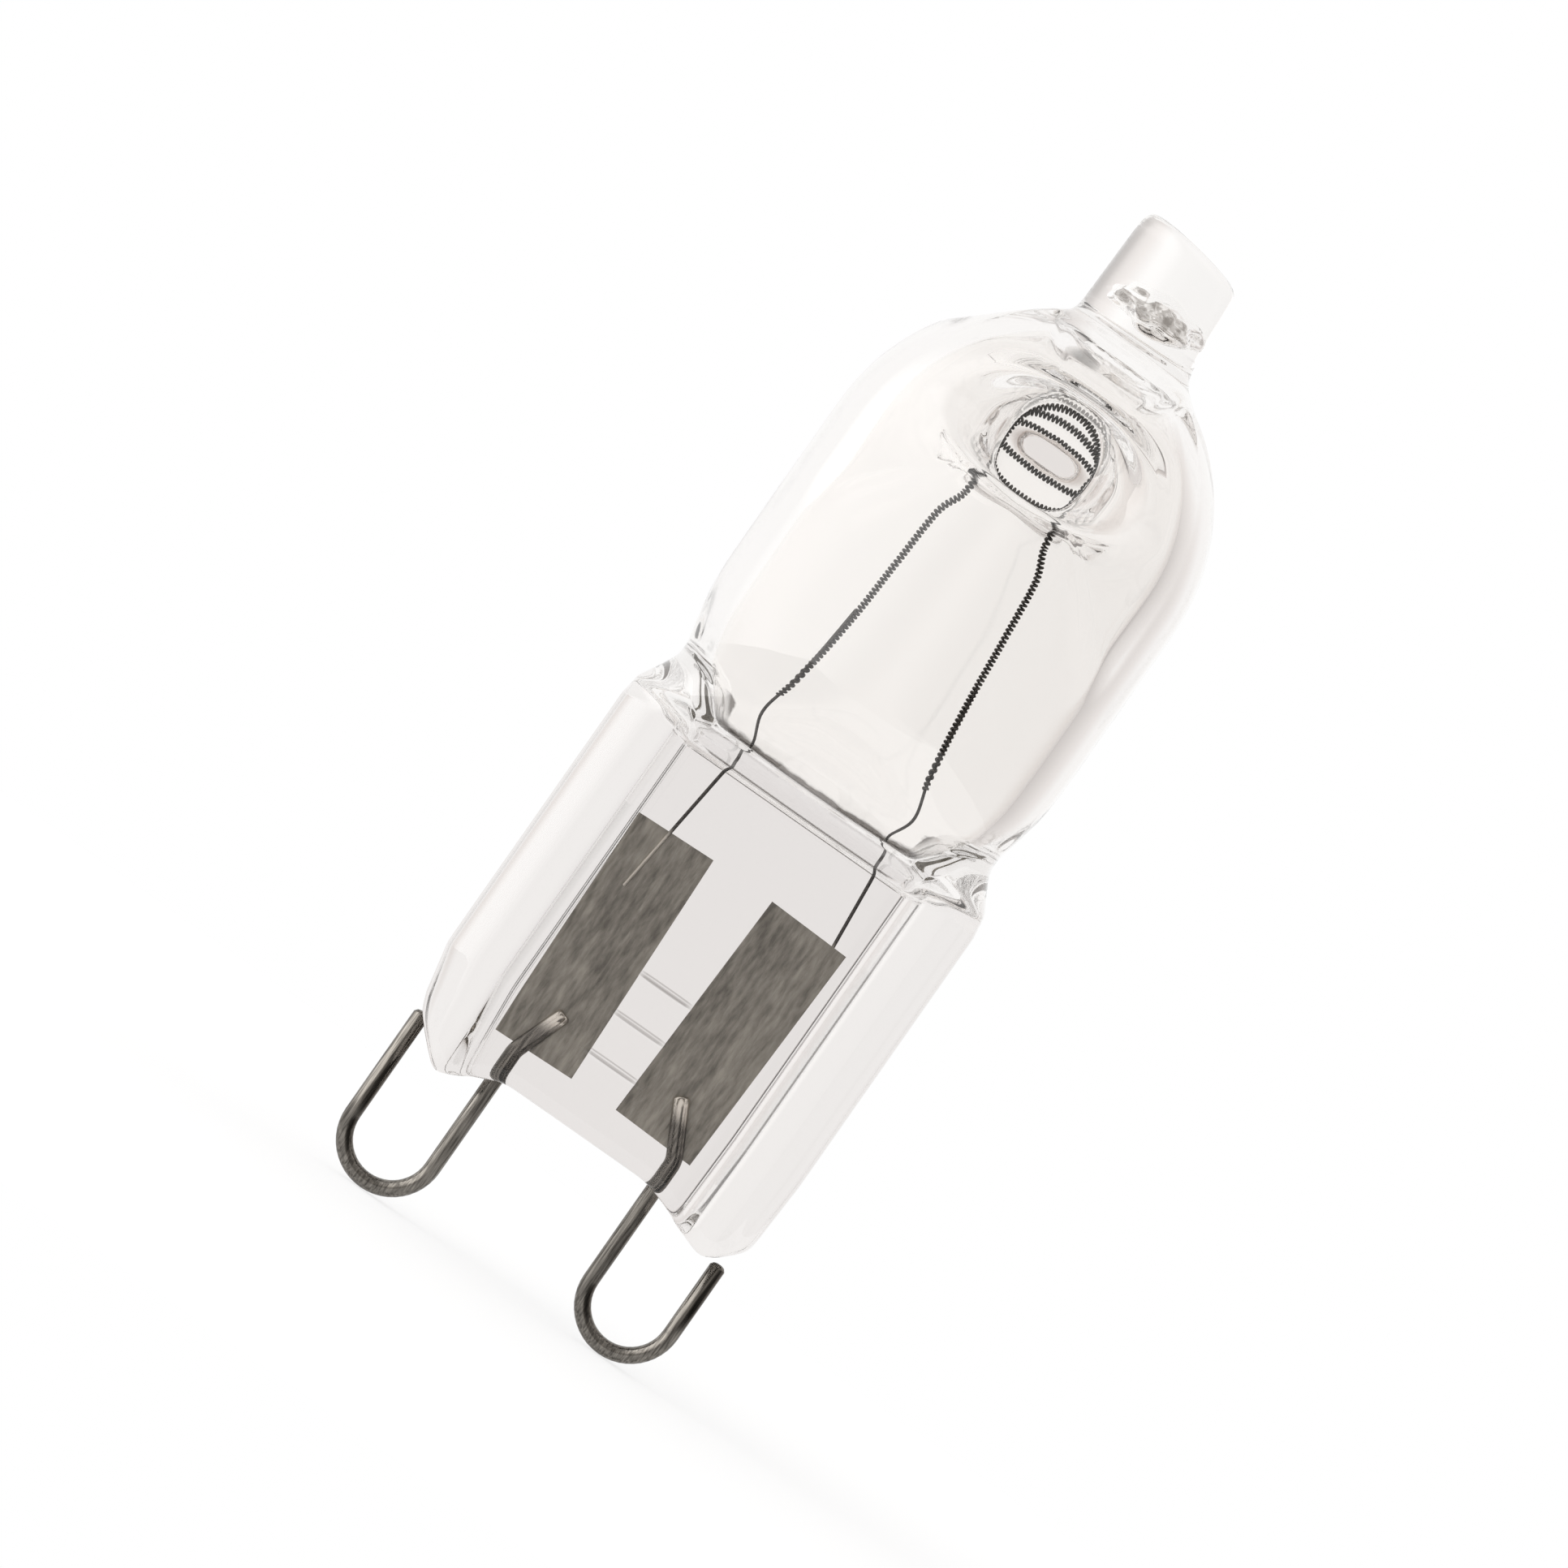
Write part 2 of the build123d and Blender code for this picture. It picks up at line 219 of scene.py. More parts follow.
# %% [markdown]
# ## Stacking the rings
# Each ring is made from the one below by extruding its edges and moving the new points to the next outline.
# That is how a tube is drawn by hand in edit mode, and it keeps every face a clean four-sided one, which
# subdivides without ripples. A flat end is closed by bridging its front half to its back half, and a round
# end by merging the last ring to a pole.

# %% Skin helpers
def stack_rings(outlines):
    """Open skin through a list of rings, and its vertices ring by ring."""
    bm = bmesh.new()
    ring = list(bmesh.ops.create_circle(bm, segments=COLUMNS, radius=1.0)["verts"])
    edges = list(bm.edges)
    rings = [ring]
    for _ in outlines[1:]:
        made = bmesh.ops.extrude_edge_only(bm, edges=edges)["geom"]
        fresh = {part for part in made if isinstance(part, bmesh.types.BMVert)}
        ring = [next(e.other_vert(v) for e in v.link_edges if e.other_vert(v) in fresh) for v in ring]
        edges = [part for part in made if isinstance(part, bmesh.types.BMEdge) and fresh.issuperset(part.verts)]
        rings.append(ring)
    for ring, outline in zip(rings, outlines):
        for vertex, place in zip(ring, outline):
            vertex.co = place
    return bm, rings


def close_slot(bm, ring):
    """Closes a flat end by bridging the ring's back half to its front half."""
    def run(first, last):
        return [bm.edges.get((ring[n], ring[n + 1])) for n in range(first, last)]
    half = COLUMNS // 2
    bmesh.ops.bridge_loops(bm, edges=run(1, half - 1) + run(half + 1, COLUMNS - 1))
    rim = [e for e in ring[0].link_edges[:] + ring[half].link_edges[:] if e.is_boundary]
    rim += [e for v in (ring[1], ring[-1], ring[half - 1], ring[half + 1]) for e in v.link_edges if e.is_boundary]
    bmesh.ops.holes_fill(bm, edges=list(set(rim)), sides=4)


def close_pole(bm, ring):
    """Closes a round end by merging its last ring to its middle."""
    middle = sum((v.co for v in ring), Vector()) / len(ring)
    bmesh.ops.pointmerge(bm, verts=ring, merge_co=middle)


# %% [markdown]
# ## Tube and dome
# Above the neck the bulb is a straight tube that runs into a dome. A run along its outline, measured from the
# foot of the tube, gives the radius and the height of each ring, so the rings keep an even distance.

# %% Skin of the bulb
BULB_RADIUS, WALL = 6.33, 1.0
DOME_CURVE = 7.0
DOME_CENTRE = BULB_RADIUS - DOME_CURVE
TUBE_BASE, DOME_BASE = 18.0, 23.2
BRIDGE_HEIGHT = 25.5


class BulbSkin:
    """Radius and depth of the bulb's outer or inner skin."""

    def __init__(self, inset):
        self.radius = BULB_RADIUS - inset
        self.curve = DOME_CURVE - inset

    def on_run(self, run):
        """Radius and height at a run along the outline."""
        straight = DOME_BASE - TUBE_BASE
        if run <= straight:
            return self.radius, TUBE_BASE + run
        turn = (run - straight) / self.curve
        return DOME_CENTRE + self.curve * cos(turn), DOME_BASE + self.curve * sin(turn)

    def run_at_height(self, height):
        """Run along the outline up to a height."""
        if height <= DOME_BASE:
            return height - TUBE_BASE
        rise = (height - DOME_BASE) / self.curve
        return DOME_BASE - TUBE_BASE + self.curve * atan2(rise, sqrt(1 - rise**2))

    def run_at_radius(self, radius):
        """Run along the outline up to where the dome has a radius."""
        share = (radius - DOME_CENTRE) / self.curve
        return DOME_BASE - TUBE_BASE + self.curve * atan2(sqrt(1 - share**2), share)

    def depth(self, x, z):
        """Distance of the skin from the plane of the filament, seen from the front."""
        radius = self.radius
        if z > DOME_BASE:
            radius = DOME_CENTRE + sqrt(max(self.curve**2 - (z - DOME_BASE) ** 2, 0.0))
        return sqrt(max(radius**2 - x**2, 0.0))

    def block_runs(self, bottom, top_radius):
        """Runs of the rings that the dents are pressed into, the middle one at the bridge."""
        low, middle = self.run_at_height(bottom), self.run_at_height(BRIDGE_HEIGHT)
        high = self.run_at_radius(top_radius)
        lower = [lerp(low, middle, n / BLOCK) for n in range(BLOCK)]
        return lower + [lerp(middle, high, n / BLOCK) for n in range(BLOCK + 1)]


outer, inner = BulbSkin(0.0), BulbSkin(WALL)
outer_runs = outer.block_runs(20.4, 2.9)
inner_runs = inner.block_runs(20.2, 2.0)
print("rings for the dents:", len(outer_runs), "outside,", len(inner_runs), "inside")

# %% [markdown]
# ## Dents and bridge
# While the dome is hot, two punches press it in from the front and the back, until their flat floors nearly
# meet. A short oval post of glass joins the floors, and the filament is wound round it as on a bobbin. A boolean
# cut would leave a torn edge here, so each dent is pressed into its block of faces: the block's square rings
# become ovals that run down the funnel and out over its soft rim.

# %% Funnels
def reach(ray, oval):
    """Run of a ray from the middle of an oval to its edge. A power above 2 makes the oval squarer."""
    half_width, half_height, power = oval
    return ((abs(ray[0]) / half_width) ** power + (abs(ray[1]) / half_height) ** power) ** (-1 / power)


def funnel(ray, floor, mouth, floor_depth):
    """Run of a ray to the wall of a funnel, as a function of the depth."""
    def wall(depth):
        share = (depth - floor_depth) / (BULB_RADIUS - floor_depth)
        return reach(ray, [lerp(a, b, share) for a, b in zip(floor, mouth)])
    return wall


def on_skin(skin, ray, run):
    """Run and depth of a point on the skin."""
    return run, skin.depth(ray[0] * run, BRIDGE_HEIGHT + ray[1] * run)


def mouth_depth(skin, wall, ray):
    """Depth at which the wall of a funnel meets the skin."""
    low, high = 0.5, BULB_RADIUS
    for _ in range(32):
        middle = (low + high) / 2
        if on_skin(skin, ray, wall(middle))[1] > middle:
            low = middle
        else:
            high = middle
    return low


# %% [markdown]
# ## Rows of a dent
# Seen in section, a dent is a flat floor, a steep shaft, a flare and a rounded rim. Rows of points follow this
# section, closer together at the corners, and the fire polish is in how softly each corner is rounded.

# %% Rows of a dent
# Each oval has a half width, a half height and a power that makes it squarer.
DENT_FLOOR, DENT = 0.9, (1.5, 1.64, 2.8)
DENT_NECK_DEPTH, DENT_NECK = 2.9, (1.75, 1.67, 2.3)
DENT_MOUTH = (4.1, 1.76, 2.0)
BRIDGE, BRIDGE_HALF = (1.05, 0.34, 6.0), 0.5
BULGE_DEPTH, BULGE = 0.55, (2.1, 1.8, 2.2)
BULGE_NECK_DEPTH, BULGE_NECK = 2.9, (2.45, 1.86, 2.1)
BULGE_ROOT = (4.6, 1.98, 2.0)
FLOOR_SOFT = (0.09, 0.08)
RIM_SOFT = (0.9, 0.4)
ROOT_SOFT = (1.4, 0.2)


def softened(before, corner, after, shares):
    """Points on a rounded corner."""
    rows = []
    for t in shares:
        rows.append(tuple(lerp(lerp(a, b, t), lerp(b, c, t), t) for a, b, c in zip(before, corner, after)))
    return rows


def rim_rows(skin, wall, ray, edge, soft):
    """Rows from the wall of a funnel over its soft rim to the skin."""
    mouth = mouth_depth(skin, wall, ray)
    corner = (wall(mouth), mouth)
    soft = min(lerp(*soft, abs(ray[1])), 0.8 * (edge - corner[0]))
    before, after = (wall(mouth - soft), mouth - soft), on_skin(skin, ray, corner[0] + soft)
    return softened(before, corner, after, (0.0, 0.3, 0.65, 1.0))


def outer_dent(ray, edge):
    """Run and depth of the rows of a dent, from the middle of its floor to the edge of the block."""
    shaft = [(reach(ray, DENT), DENT_FLOOR), (reach(ray, DENT_NECK), DENT_NECK_DEPTH)]
    soft = lerp(*FLOOR_SOFT, abs(ray[1]))
    before = (max(shaft[0][0] - soft, 0.15), DENT_FLOOR)
    after = tuple(lerp(a, b, soft / (DENT_NECK_DEPTH - DENT_FLOOR)) for a, b in zip(*shaft))
    rows = [(0.0, DENT_FLOOR)] + softened(before, shaft[0], after, (0.0, 0.35, 0.65, 1.0))
    flare = funnel(ray, DENT_NECK, DENT_MOUTH, DENT_NECK_DEPTH)
    rim = rim_rows(outer, flare, ray, edge, RIM_SOFT)
    start = tuple(lerp(a, b, 0.6) for a, b in zip(*shaft))
    rows += softened(start, shaft[1], rim[0], (0.0, 0.3, 0.65))
    return rows + rim


def inner_dent(ray, edge):
    """The same for the cavity, where the rows run on through the waist to the other side."""
    waist, bulge = reach(ray, BRIDGE), (reach(ray, BULGE), BULGE_DEPTH)
    neck = (reach(ray, BULGE_NECK), BULGE_NECK_DEPTH)
    flare = funnel(ray, BULGE_NECK, BULGE_ROOT, BULGE_NECK_DEPTH)
    rim = rim_rows(inner, flare, ray, edge, ROOT_SOFT)
    rows = [None] * 2 + [(waist, 0.0), (waist, BRIDGE_HALF), (waist + 0.05, BULGE_DEPTH)]
    before = (bulge[0] - 0.4, BULGE_DEPTH)
    after = tuple(lerp(a, b, 0.2) for a, b in zip(bulge, neck))
    rows += softened(before, bulge, after, (0.0, 0.5, 1.0))
    return rows + rim


# %% [markdown]
# ## Pressing
# A punch moves the hot glass and doesn't cut it. In the same way each point of the block keeps its direction from
# the middle and only slides to its row of the dent.

# %% Pressing a dent
BACK, FRONT = QUARTER, 3 * QUARTER


def press_dent(rings, runs, skin, profile, sign):
    """Moves one block of a skin's points to a dent, and returns the ones that the profile leaves out."""
    left_over = []

    def natural(u, v):
        n = min(max(v + BLOCK, 0.0), 2.0 * BLOCK)
        low = min(int(n), 2 * BLOCK - 1)
        radius, height = skin.on_run(lerp(runs[low], runs[low + 1], n - low))
        return radius * sin((pi / 2 - SIDE_TURN) * u / BLOCK), height - BRIDGE_HEIGHT

    for v in range(-BLOCK, BLOCK + 1):
        for u in range(-BLOCK, BLOCK + 1):
            step = max(abs(u), abs(v))
            vertex = rings[BLOCK + v][FRONT + u if sign < 0 else BACK - u]
            if step == BLOCK:
                continue
            if step == 0:
                ray, edge = (0.0, 1.0), 4.0
            else:
                x, z = natural(u * BLOCK / step, v * BLOCK / step)
                edge = hypot(x, z)
                ray = (x / edge, z / edge)
            row = profile(ray, edge)[step]
            if row is None:
                left_over.append(vertex)
                continue
            run, depth = row
            vertex.co = (ray[0] * run, sign * depth, BRIDGE_HEIGHT + ray[1] * run)
    return left_over


# %% [markdown]
# ## Outer skin
# The pinch starts at its foot, where a toe of glass droops under each rail, more on the left than on the right.
# The foot is a line of straight runs, and the lowest rings follow it and even out on the way up.

# %% Foot of the pinch
FOOT = [
    (-6.625, 0.6), (-6.195, 0.5), (-4.7, -0.95), (-2.75, 0.0),
    (2.75, 0.0), (5.4, -0.95), (6.495, 0.0), (6.625, 0.1),
]
LEFT_TAPER, RIGHT_TAPER = 0.43, 0.13
SIDE_TAPER = 2.6


def foot_height(x):
    """Height of the foot of the pinch under a place on its width."""
    for (xa, za), (xb, zb) in zip(FOOT, FOOT[1:]):
        if x <= xb:
            return lerp(za, zb, max(x - xa, 0.0) / (xb - xa))
    return FOOT[-1][1]


def foot_ring(share, lift=0.0, inset=0.0):
    """Ring of the pinch between its foot and the height where its sides are straight."""
    ring = []
    for column in range(COLUMNS):
        k, sx, sy = corner_of(column)
        x, y = pinch_quarter[k]
        taper = (LEFT_TAPER if sx < 0 else RIGHT_TAPER) * (1 - share) / PINCH_HALF
        x = sx * x * (1 - taper - inset / PINCH_HALF)
        low = foot_height(x)
        ring.append(Vector((x, sy * max(y - inset, 0.0), lerp(low, SIDE_TAPER, share) + lift)))
    return ring


# %% [markdown]
# ## Pinch
# The jaws leave three faint ribs on the front of the web. A texture could fake them, but they catch the light
# from every side, so the rings stand close together there and their points are raised a little.

# %% Rings of the pinch
outer_rings = [foot_ring(0, 0.0, 0.8), foot_ring(0, 0.0, 0.3), foot_ring(0, 0.06, 0.07), foot_ring(0, 0.25)]
web_heights = (0.5, 0.8, 1.0, 1.12, 1.2, 1.28, 1.4, 1.75, 2.13, 2.25, 2.33, 2.41, 2.53)
outer_rings += [foot_ring(height / SIDE_TAPER) for height in web_heights]
pinch_heights = (2.75, 3.15, 3.56, 3.68, 3.76, 3.84, 3.96, 4.4, 5.0, 5.12, 5.2, 5.28, 5.4, 6.0)
pinch_heights += (6.8, 7.6, 8.4, 9.2, 10.0, 10.7, 11.2)
outer_rings += [ring_of(pinch_quarter, height) for height in pinch_heights]

RIBS, RIB_RISE, RIB_REACH = {5.2: 1.0, 3.76: 0.85, 2.33: 1.0}, 0.02, (-1.3, 0.7)
for ring in outer_rings:
    for rib, strength in RIBS.items():
        for p in ring:
            if abs(p.z - rib) < 0.02 and p.y < -1.0 and RIB_REACH[0] < p.x < RIB_REACH[1]:
                p.y -= RIB_RISE * strength


# %% [markdown]
# ## Neck and tube
# Above the ledge where the web ends, the squeezed glass opens to the round tube. The rings blend from the pinch
# to key outlines of the neck, and the tube above keeps one even spacing for the dents.

# %% Rings of the neck and the tube
PINCH_TOP = 11.8


def squeezed(width, depth, corner, blend):
    """Key outline of the neck, its points spaced between those of the pinch and of the tube."""
    return rounded_quarter(width, depth, corner, mixed_shares(blank_shares, round_shares, blend))


outer_keys = [
    (PINCH_TOP, blank_quarter),
    (12.4, squeezed(13.16, 5.1, 2.2, 0.15)),
    (12.75, squeezed(13.04, 7.2, 3.5, 0.3)),
    (13.3, squeezed(12.4, 9.24, 4.58, 0.55)),
    (14.1, squeezed(11.74, 10.9, 5.42, 0.8)),
    (15.2, squeezed(12.12, 12.1, 6.0, 0.95)),
    (16.2, squeezed(12.5, 12.5, 6.24, 1.0)),
    (17.4, squeezed(12.66, 12.66, 6.329, 1.0)),
]
LEDGE = (11.85, 12.35)
neck_heights = (11.5, 11.74, 11.88, 11.98, 12.06, 12.14, 12.22, 12.3, 12.4, 12.5, 12.62, 12.76, 12.92)
neck_heights += (13.1, 13.3, 13.55, 13.8, 14.1, 14.4, 14.75, 15.1, 15.5, 15.9, 16.3, 16.8, 17.4)
for height in neck_heights:
    rise = ease((height - LEDGE[0]) / (LEDGE[1] - LEDGE[0]))
    smooth = along_keys(outer_keys, height)
    points = [(lerp(a[0], b[0], rise), lerp(a[1], b[1], rise)) for a, b in zip(pinch_quarter, smooth)]
    outer_rings.append(ring_of(points, height))
outer_rings += [round_ring(BULB_RADIUS, height) for height in (18.4, 19.1, 19.8)]
outer_block = len(outer_rings)
outer_rings += [round_ring(*outer.on_run(run)) for run in outer_runs]

# %% [markdown]
# ## Tip
# The stub of the exhaust tube was melted shut and cut off at a slant. It isn't quite round, so each row has a radius
# on the left and one on the right, and the slant grows towards the top.

# %% Rings of the tip
TIP_OFFSET = 0.04
TIP_SLANT = tan(radians(9.0))
tip_rows = [
    (2.72, 2.76, 29.36), (2.36, 2.52, 29.53), (2.08, 2.31, 29.7), (1.99, 2.16, 29.95), (1.97, 2.07, 30.3),
    (1.96, 2.02, 31.0), (1.94, 1.99, 31.7), (1.92, 1.96, 32.3), (1.9, 1.93, 32.75), (1.86, 1.88, 33.05),
    (1.72, 1.74, 33.27), (1.45, 1.45, 33.36), (1.0, 1.0, 33.38), (0.5, 0.5, 33.4),
]
for left, right, height in tip_rows:
    shift = TIP_OFFSET * ease((height - 29.2) / 0.8)
    slant = TIP_SLANT * ease((height - 31.5) / 1.5)
    ring = []
    for p in round_ring(1.0, height):
        radius = lerp(left, right, (1 + p.x) / 2)
        ring.append(Vector((shift + radius * p.x, radius * p.y, height - radius * p.x * slant)))
    outer_rings.append(ring)

# %% [markdown]
# ## Flattened shoulder
# On the left the dome slumped a little while the tip was sealed, so its shoulder is flatter than on the right.

# %% Left shoulder
SHOULDER, SHOULDER_SPAN, SHOULDER_DROP = 28.5, 1.5, 0.38
DROP_X, DROP_Z = 0.55, -0.84
for ring in outer_rings:
    for p in ring:
        side = ease(1 - atan2(abs(p.y), -p.x) / SIDE_TURN)
        drop = SHOULDER_DROP * side * ease(1 - abs(p.z - SHOULDER) / SHOULDER_SPAN)
        p.x, p.z = p.x + DROP_X * drop, p.z + DROP_Z * drop
print("outer rings:", len(outer_rings))

# %% [markdown]
# ## Pressing the outer skin
# The rings are joined, the front and back blocks are pressed in, and both ends are closed.

# %% Outer skin
outer_mesh, rings = stack_rings(outer_rings)
block = rings[outer_block:outer_block + 2 * BLOCK + 1]
for sign in (-1, 1):
    press_dent(block, outer_runs, outer, outer_dent, sign)
close_slot(outer_mesh, rings[0])
close_pole(outer_mesh, rings[-1])
bmesh.ops.recalc_face_normals(outer_mesh, faces=outer_mesh.faces)
print("outer skin:", len(outer_mesh.faces), "faces, open edges:", sum(e.is_boundary for e in outer_mesh.edges))

# %% [markdown]
# ## Cavity
# The inside starts at a flat floor, where the squeeze closed the tube, widens to the bore and ends under the tip,
# where the melted glass is thick. A gently sloping floor would mirror the foils below it, so the floor is flat and
# its walls are steep. The front and back blocks lose their middle, and the two open waists are welded, so the post
# of the bridge runs right through the cavity.

# %% Inner rings
def hollow(width, depth, corner, blend):
    """Key outline of the cavity above its floor."""
    return rounded_quarter(width, depth, corner, mixed_shares(even_shares, round_shares, blend))


inner_keys = [
    (12.93, hollow(7.6, 3.0, 0.8, 0.0)),
    (12.95, hollow(8.15, 4.4, 1.2, 0.08)),
    (12.98, hollow(8.35, 5.4, 1.5, 0.15)),
    (13.03, hollow(8.5, 6.0, 1.7, 0.22)),
    (13.12, hollow(8.64, 6.5, 1.9, 0.3)),
    (13.25, hollow(8.8, 6.9, 2.1, 0.4)),
    (13.45, hollow(9.0, 7.3, 2.35, 0.5)),
    (13.7, hollow(9.25, 7.7, 2.7, 0.6)),
    (14.0, hollow(9.55, 8.15, 3.15, 0.72)),
    (14.4, hollow(9.85, 8.8, 3.7, 0.85)),
    (14.9, hollow(10.15, 9.6, 4.45, 0.95)),
    (15.5, hollow(10.4, 10.12, 5.04, 1.0)),
    (16.2, hollow(10.57, 10.46, 5.21, 1.0)),
    (17.4, hollow(10.66, 10.66, 5.329, 1.0)),
]
FLOOR_SAG, WEB_HALF = 0.16, 4.3
CROWN = ((1.75, 28.64), (1.4, 28.67), (0.9, 28.685), (0.45, 28.69))
inner_rings = []
for height, points in inner_keys:
    sag = FLOOR_SAG * (1 - ease((height - 13.0) / 1.2))
    ring = ring_of(points, height)
    inner_rings.append([p + Vector((0, 0, sag * (p.x / WEB_HALF) ** 2)) for p in ring])
inner_rings += [round_ring(BULB_RADIUS - WALL, height) for height in (18.5, 19.3)]
inner_block = len(inner_rings)
inner_rings += [round_ring(*inner.on_run(run)) for run in inner_runs]
inner_rings += [round_ring(radius, height) for radius, height in CROWN]
print("inner rings:", len(inner_rings))

# %% [markdown]
# ## Joining the cavity
# The inner skin is pressed like the outer one. The points in the middle of its two blocks are left over where the
# bridge passes, so they go, and the two rims that remain are merged.

# %% Inner skin
inner_mesh, rings = stack_rings(inner_rings)
block = rings[inner_block:inner_block + 2 * BLOCK + 1]
spare = []
for sign in (-1, 1):
    spare += press_dent(block, inner_runs, inner, inner_dent, sign)
close_slot(inner_mesh, rings[0])
close_pole(inner_mesh, rings[-1])
bmesh.ops.delete(inner_mesh, geom=spare, context="VERTS")
bmesh.ops.remove_doubles(inner_mesh, verts=inner_mesh.verts, dist=0.001)
bmesh.ops.recalc_face_normals(inner_mesh, faces=inner_mesh.faces)
bmesh.ops.reverse_faces(inner_mesh, faces=inner_mesh.faces)
print("inner skin:", len(inner_mesh.faces), "faces, open edges:", sum(e.is_boundary for e in inner_mesh.edges))

# %% [markdown]
# ## Bubble in the tip
# Melting the exhaust tube shut traps a last bubble of gas, crumpled by the cooling glass. A ball is pushed in
# and out by noise, and its faces are turned inwards, because the glass lies outside it.

# %% Bubble
BUBBLE_MIDDLE = Vector((0.17, 0, 30.92))
BUBBLE_HALF = Vector((1.1, 1.0, 0.66))
bubble_mesh = bmesh.new()
bmesh.ops.create_icosphere(bubble_mesh, subdivisions=4, radius=1.0)
for vertex in bubble_mesh.verts:
    way = vertex.co.normalized()
    crumple = 1 + 0.34 * noise.noise(way * 1.6 + Vector((4.1, 0, 0))) + 0.13 * noise.noise(way * 3.6)
    vertex.co = BUBBLE_MIDDLE + way * crumple * BUBBLE_HALF
bmesh.ops.reverse_faces(bubble_mesh, faces=bubble_mesh.faces)
print("bubble:", len(bubble_mesh.faces), "faces")

# %% [markdown]
# ## One piece of glass
# Both skins go into one mesh: the outer one faces out, and the inner one faces into the cavity, so light meets
# glass only between them. One level of subdivision rounds what the rings leave.

# %% Glass piece
def finished(name, bm, levels=0):
    """Object in metres from a mesh in millimetres."""
    bmesh.ops.scale(bm, vec=(MM, MM, MM), verts=bm.verts)
    mesh = bpy.data.meshes.new(name)
    bm.to_mesh(mesh)
    bm.free()
    mesh.shade_smooth()
    piece = bpy.data.objects.new(name, mesh)
    bpy.context.scene.collection.objects.link(piece)
    if levels:
        rounding = piece.modifiers.new("rounding", "SUBSURF")
        rounding.levels = rounding.render_levels = levels
    return piece


for hollow_mesh in (inner_mesh, bubble_mesh):
    skin = bpy.data.meshes.new("hollow")
    hollow_mesh.to_mesh(skin)
    hollow_mesh.free()
    outer_mesh.from_mesh(skin)
    bpy.data.meshes.remove(skin)
glass = finished("quartz_glass", outer_mesh, levels=1)
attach(glass, "root")
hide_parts("quartz_envelope")

# %% [markdown]
# ## Filament
# The filament is one fine coil of tungsten wire. It rises on two legs and goes round the bridge in two and a half
# turns. Its path is a list of stations: the legs, and half turns that lie flatter on top than at the sides.

# %% Filament path
# The sides and crossings are half widths and half heights of each half turn, in millimetres from the bridge.
LEGS = {
    -1: [(-2.417, 0.0, 14.9), (-2.1, -0.1, 18.0), (-1.87, -0.25, 22.0), (-1.79, -0.27, 22.35)],
    1: [(2.637, 0.0, 15.06), (2.33, 0.1, 17.8), (1.95, 0.25, 21.9), (1.87, 0.27, 22.25)],
}
SIDES = [1.5, 1.8, 1.76, 1.8, 1.7]
CROSSINGS = [1.5, 1.45, 1.1, 0.57, 0.55]
FLATNESS = [0.2, 0.75, 0.2, 0.75, 0.5]
HALF_TURN, STEPS = 0.15, 8
turns = []
for n, (side, cross, flat) in enumerate(zip(SIDES, CROSSINGS, FLATNESS)):
    over = -1 if n % 2 else 1
    for step in range(STEPS):
        turn = pi * step / STEPS
        depth = HALF_TURN * (n + step / STEPS - len(SIDES) / 2)
        rise = sin(turn) ** lerp(1.0, 0.35, flat)
        turns.append((-over * side * cos(turn), depth, BRIDGE_HEIGHT + over * cross * rise))
turns.append((1.5, 0.37, BRIDGE_HEIGHT))
RISES = {
    -1: [(-1.5, -0.33, 23.05), (-1.5, -0.36, 24.3)],
    1: [(1.5, 0.33, 23.2), (1.49, 0.36, 24.2)],
}
stations = LEGS[-1] + RISES[-1] + turns + RISES[1][::-1] + LEGS[1][::-1]

# %% [markdown]
# ## Curve of the filament
# A springy coil has no sharp corners. A curve with automatic handles passes the stations in soft bends.

# %% Filament curve
path = bpy.data.curves.new("filament_path", "CURVE")
path.dimensions = "3D"
path.resolution_u = 24
spline = path.splines.new("BEZIER")
spline.bezier_points.add(len(stations) - 1)
for point, station in zip(spline.bezier_points, stations):
    point.co = station
    point.handle_left_type = point.handle_right_type = "AUTO"
path_object = bpy.data.objects.new("filament_path", path)
bpy.context.scene.collection.objects.link(path_object)
bpy.context.view_layer.update()
path_length = spline.calc_length()
print("filament path:", round(path_length, 2), "mm")

# %% [markdown]
# ## Coil
# The coil is wound straight on a mandrel and then bent. The same happens here: a small circle is screwed up into a
# long straight coil, and a curve modifier lays it along the path.

# %% Filament coil
COIL_RADIUS, COIL_WIRE, COIL_PITCH = 0.13, 0.08, 0.14
bm = bmesh.new()
bmesh.ops.create_circle(bm, segments=6, radius=COIL_WIRE / 2)
bmesh.ops.translate(bm, verts=bm.verts, vec=(COIL_WIRE / 2, COIL_RADIUS - COIL_WIRE / 2, 0))
mesh = bpy.data.meshes.new("straight_coil")
bm.to_mesh(mesh)
bm.free()
straight = bpy.data.objects.new("straight_coil", mesh)
bpy.context.scene.collection.objects.link(straight)
screw = straight.modifiers.new("turns", "SCREW")
screw.axis = "X"
screw.angle = 2 * pi
screw.screw_offset = COIL_PITCH
screw.iterations = int((path_length - COIL_WIRE) / COIL_PITCH)
screw.steps = screw.render_steps = 12
bend = straight.modifiers.new("bend", "CURVE")
bend.object = path_object
bend.deform_axis = "POS_X"
depsgraph = bpy.context.evaluated_depsgraph_get()
bent = bpy.data.meshes.new_from_object(straight.evaluated_get(depsgraph))
bm = bmesh.new()
bm.from_mesh(bent)
bmesh.ops.holes_fill(bm, edges=[e for e in bm.edges if e.is_boundary], sides=0)
bmesh.ops.recalc_face_normals(bm, faces=bm.faces)
for scrap in (straight, path_object):
    bpy.data.objects.remove(scrap)
bpy.data.meshes.remove(bent)
coil = finished("filament_coil", bm)
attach(coil, "root")
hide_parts("filament")
print("coil faces:", len(coil.data.polygons))

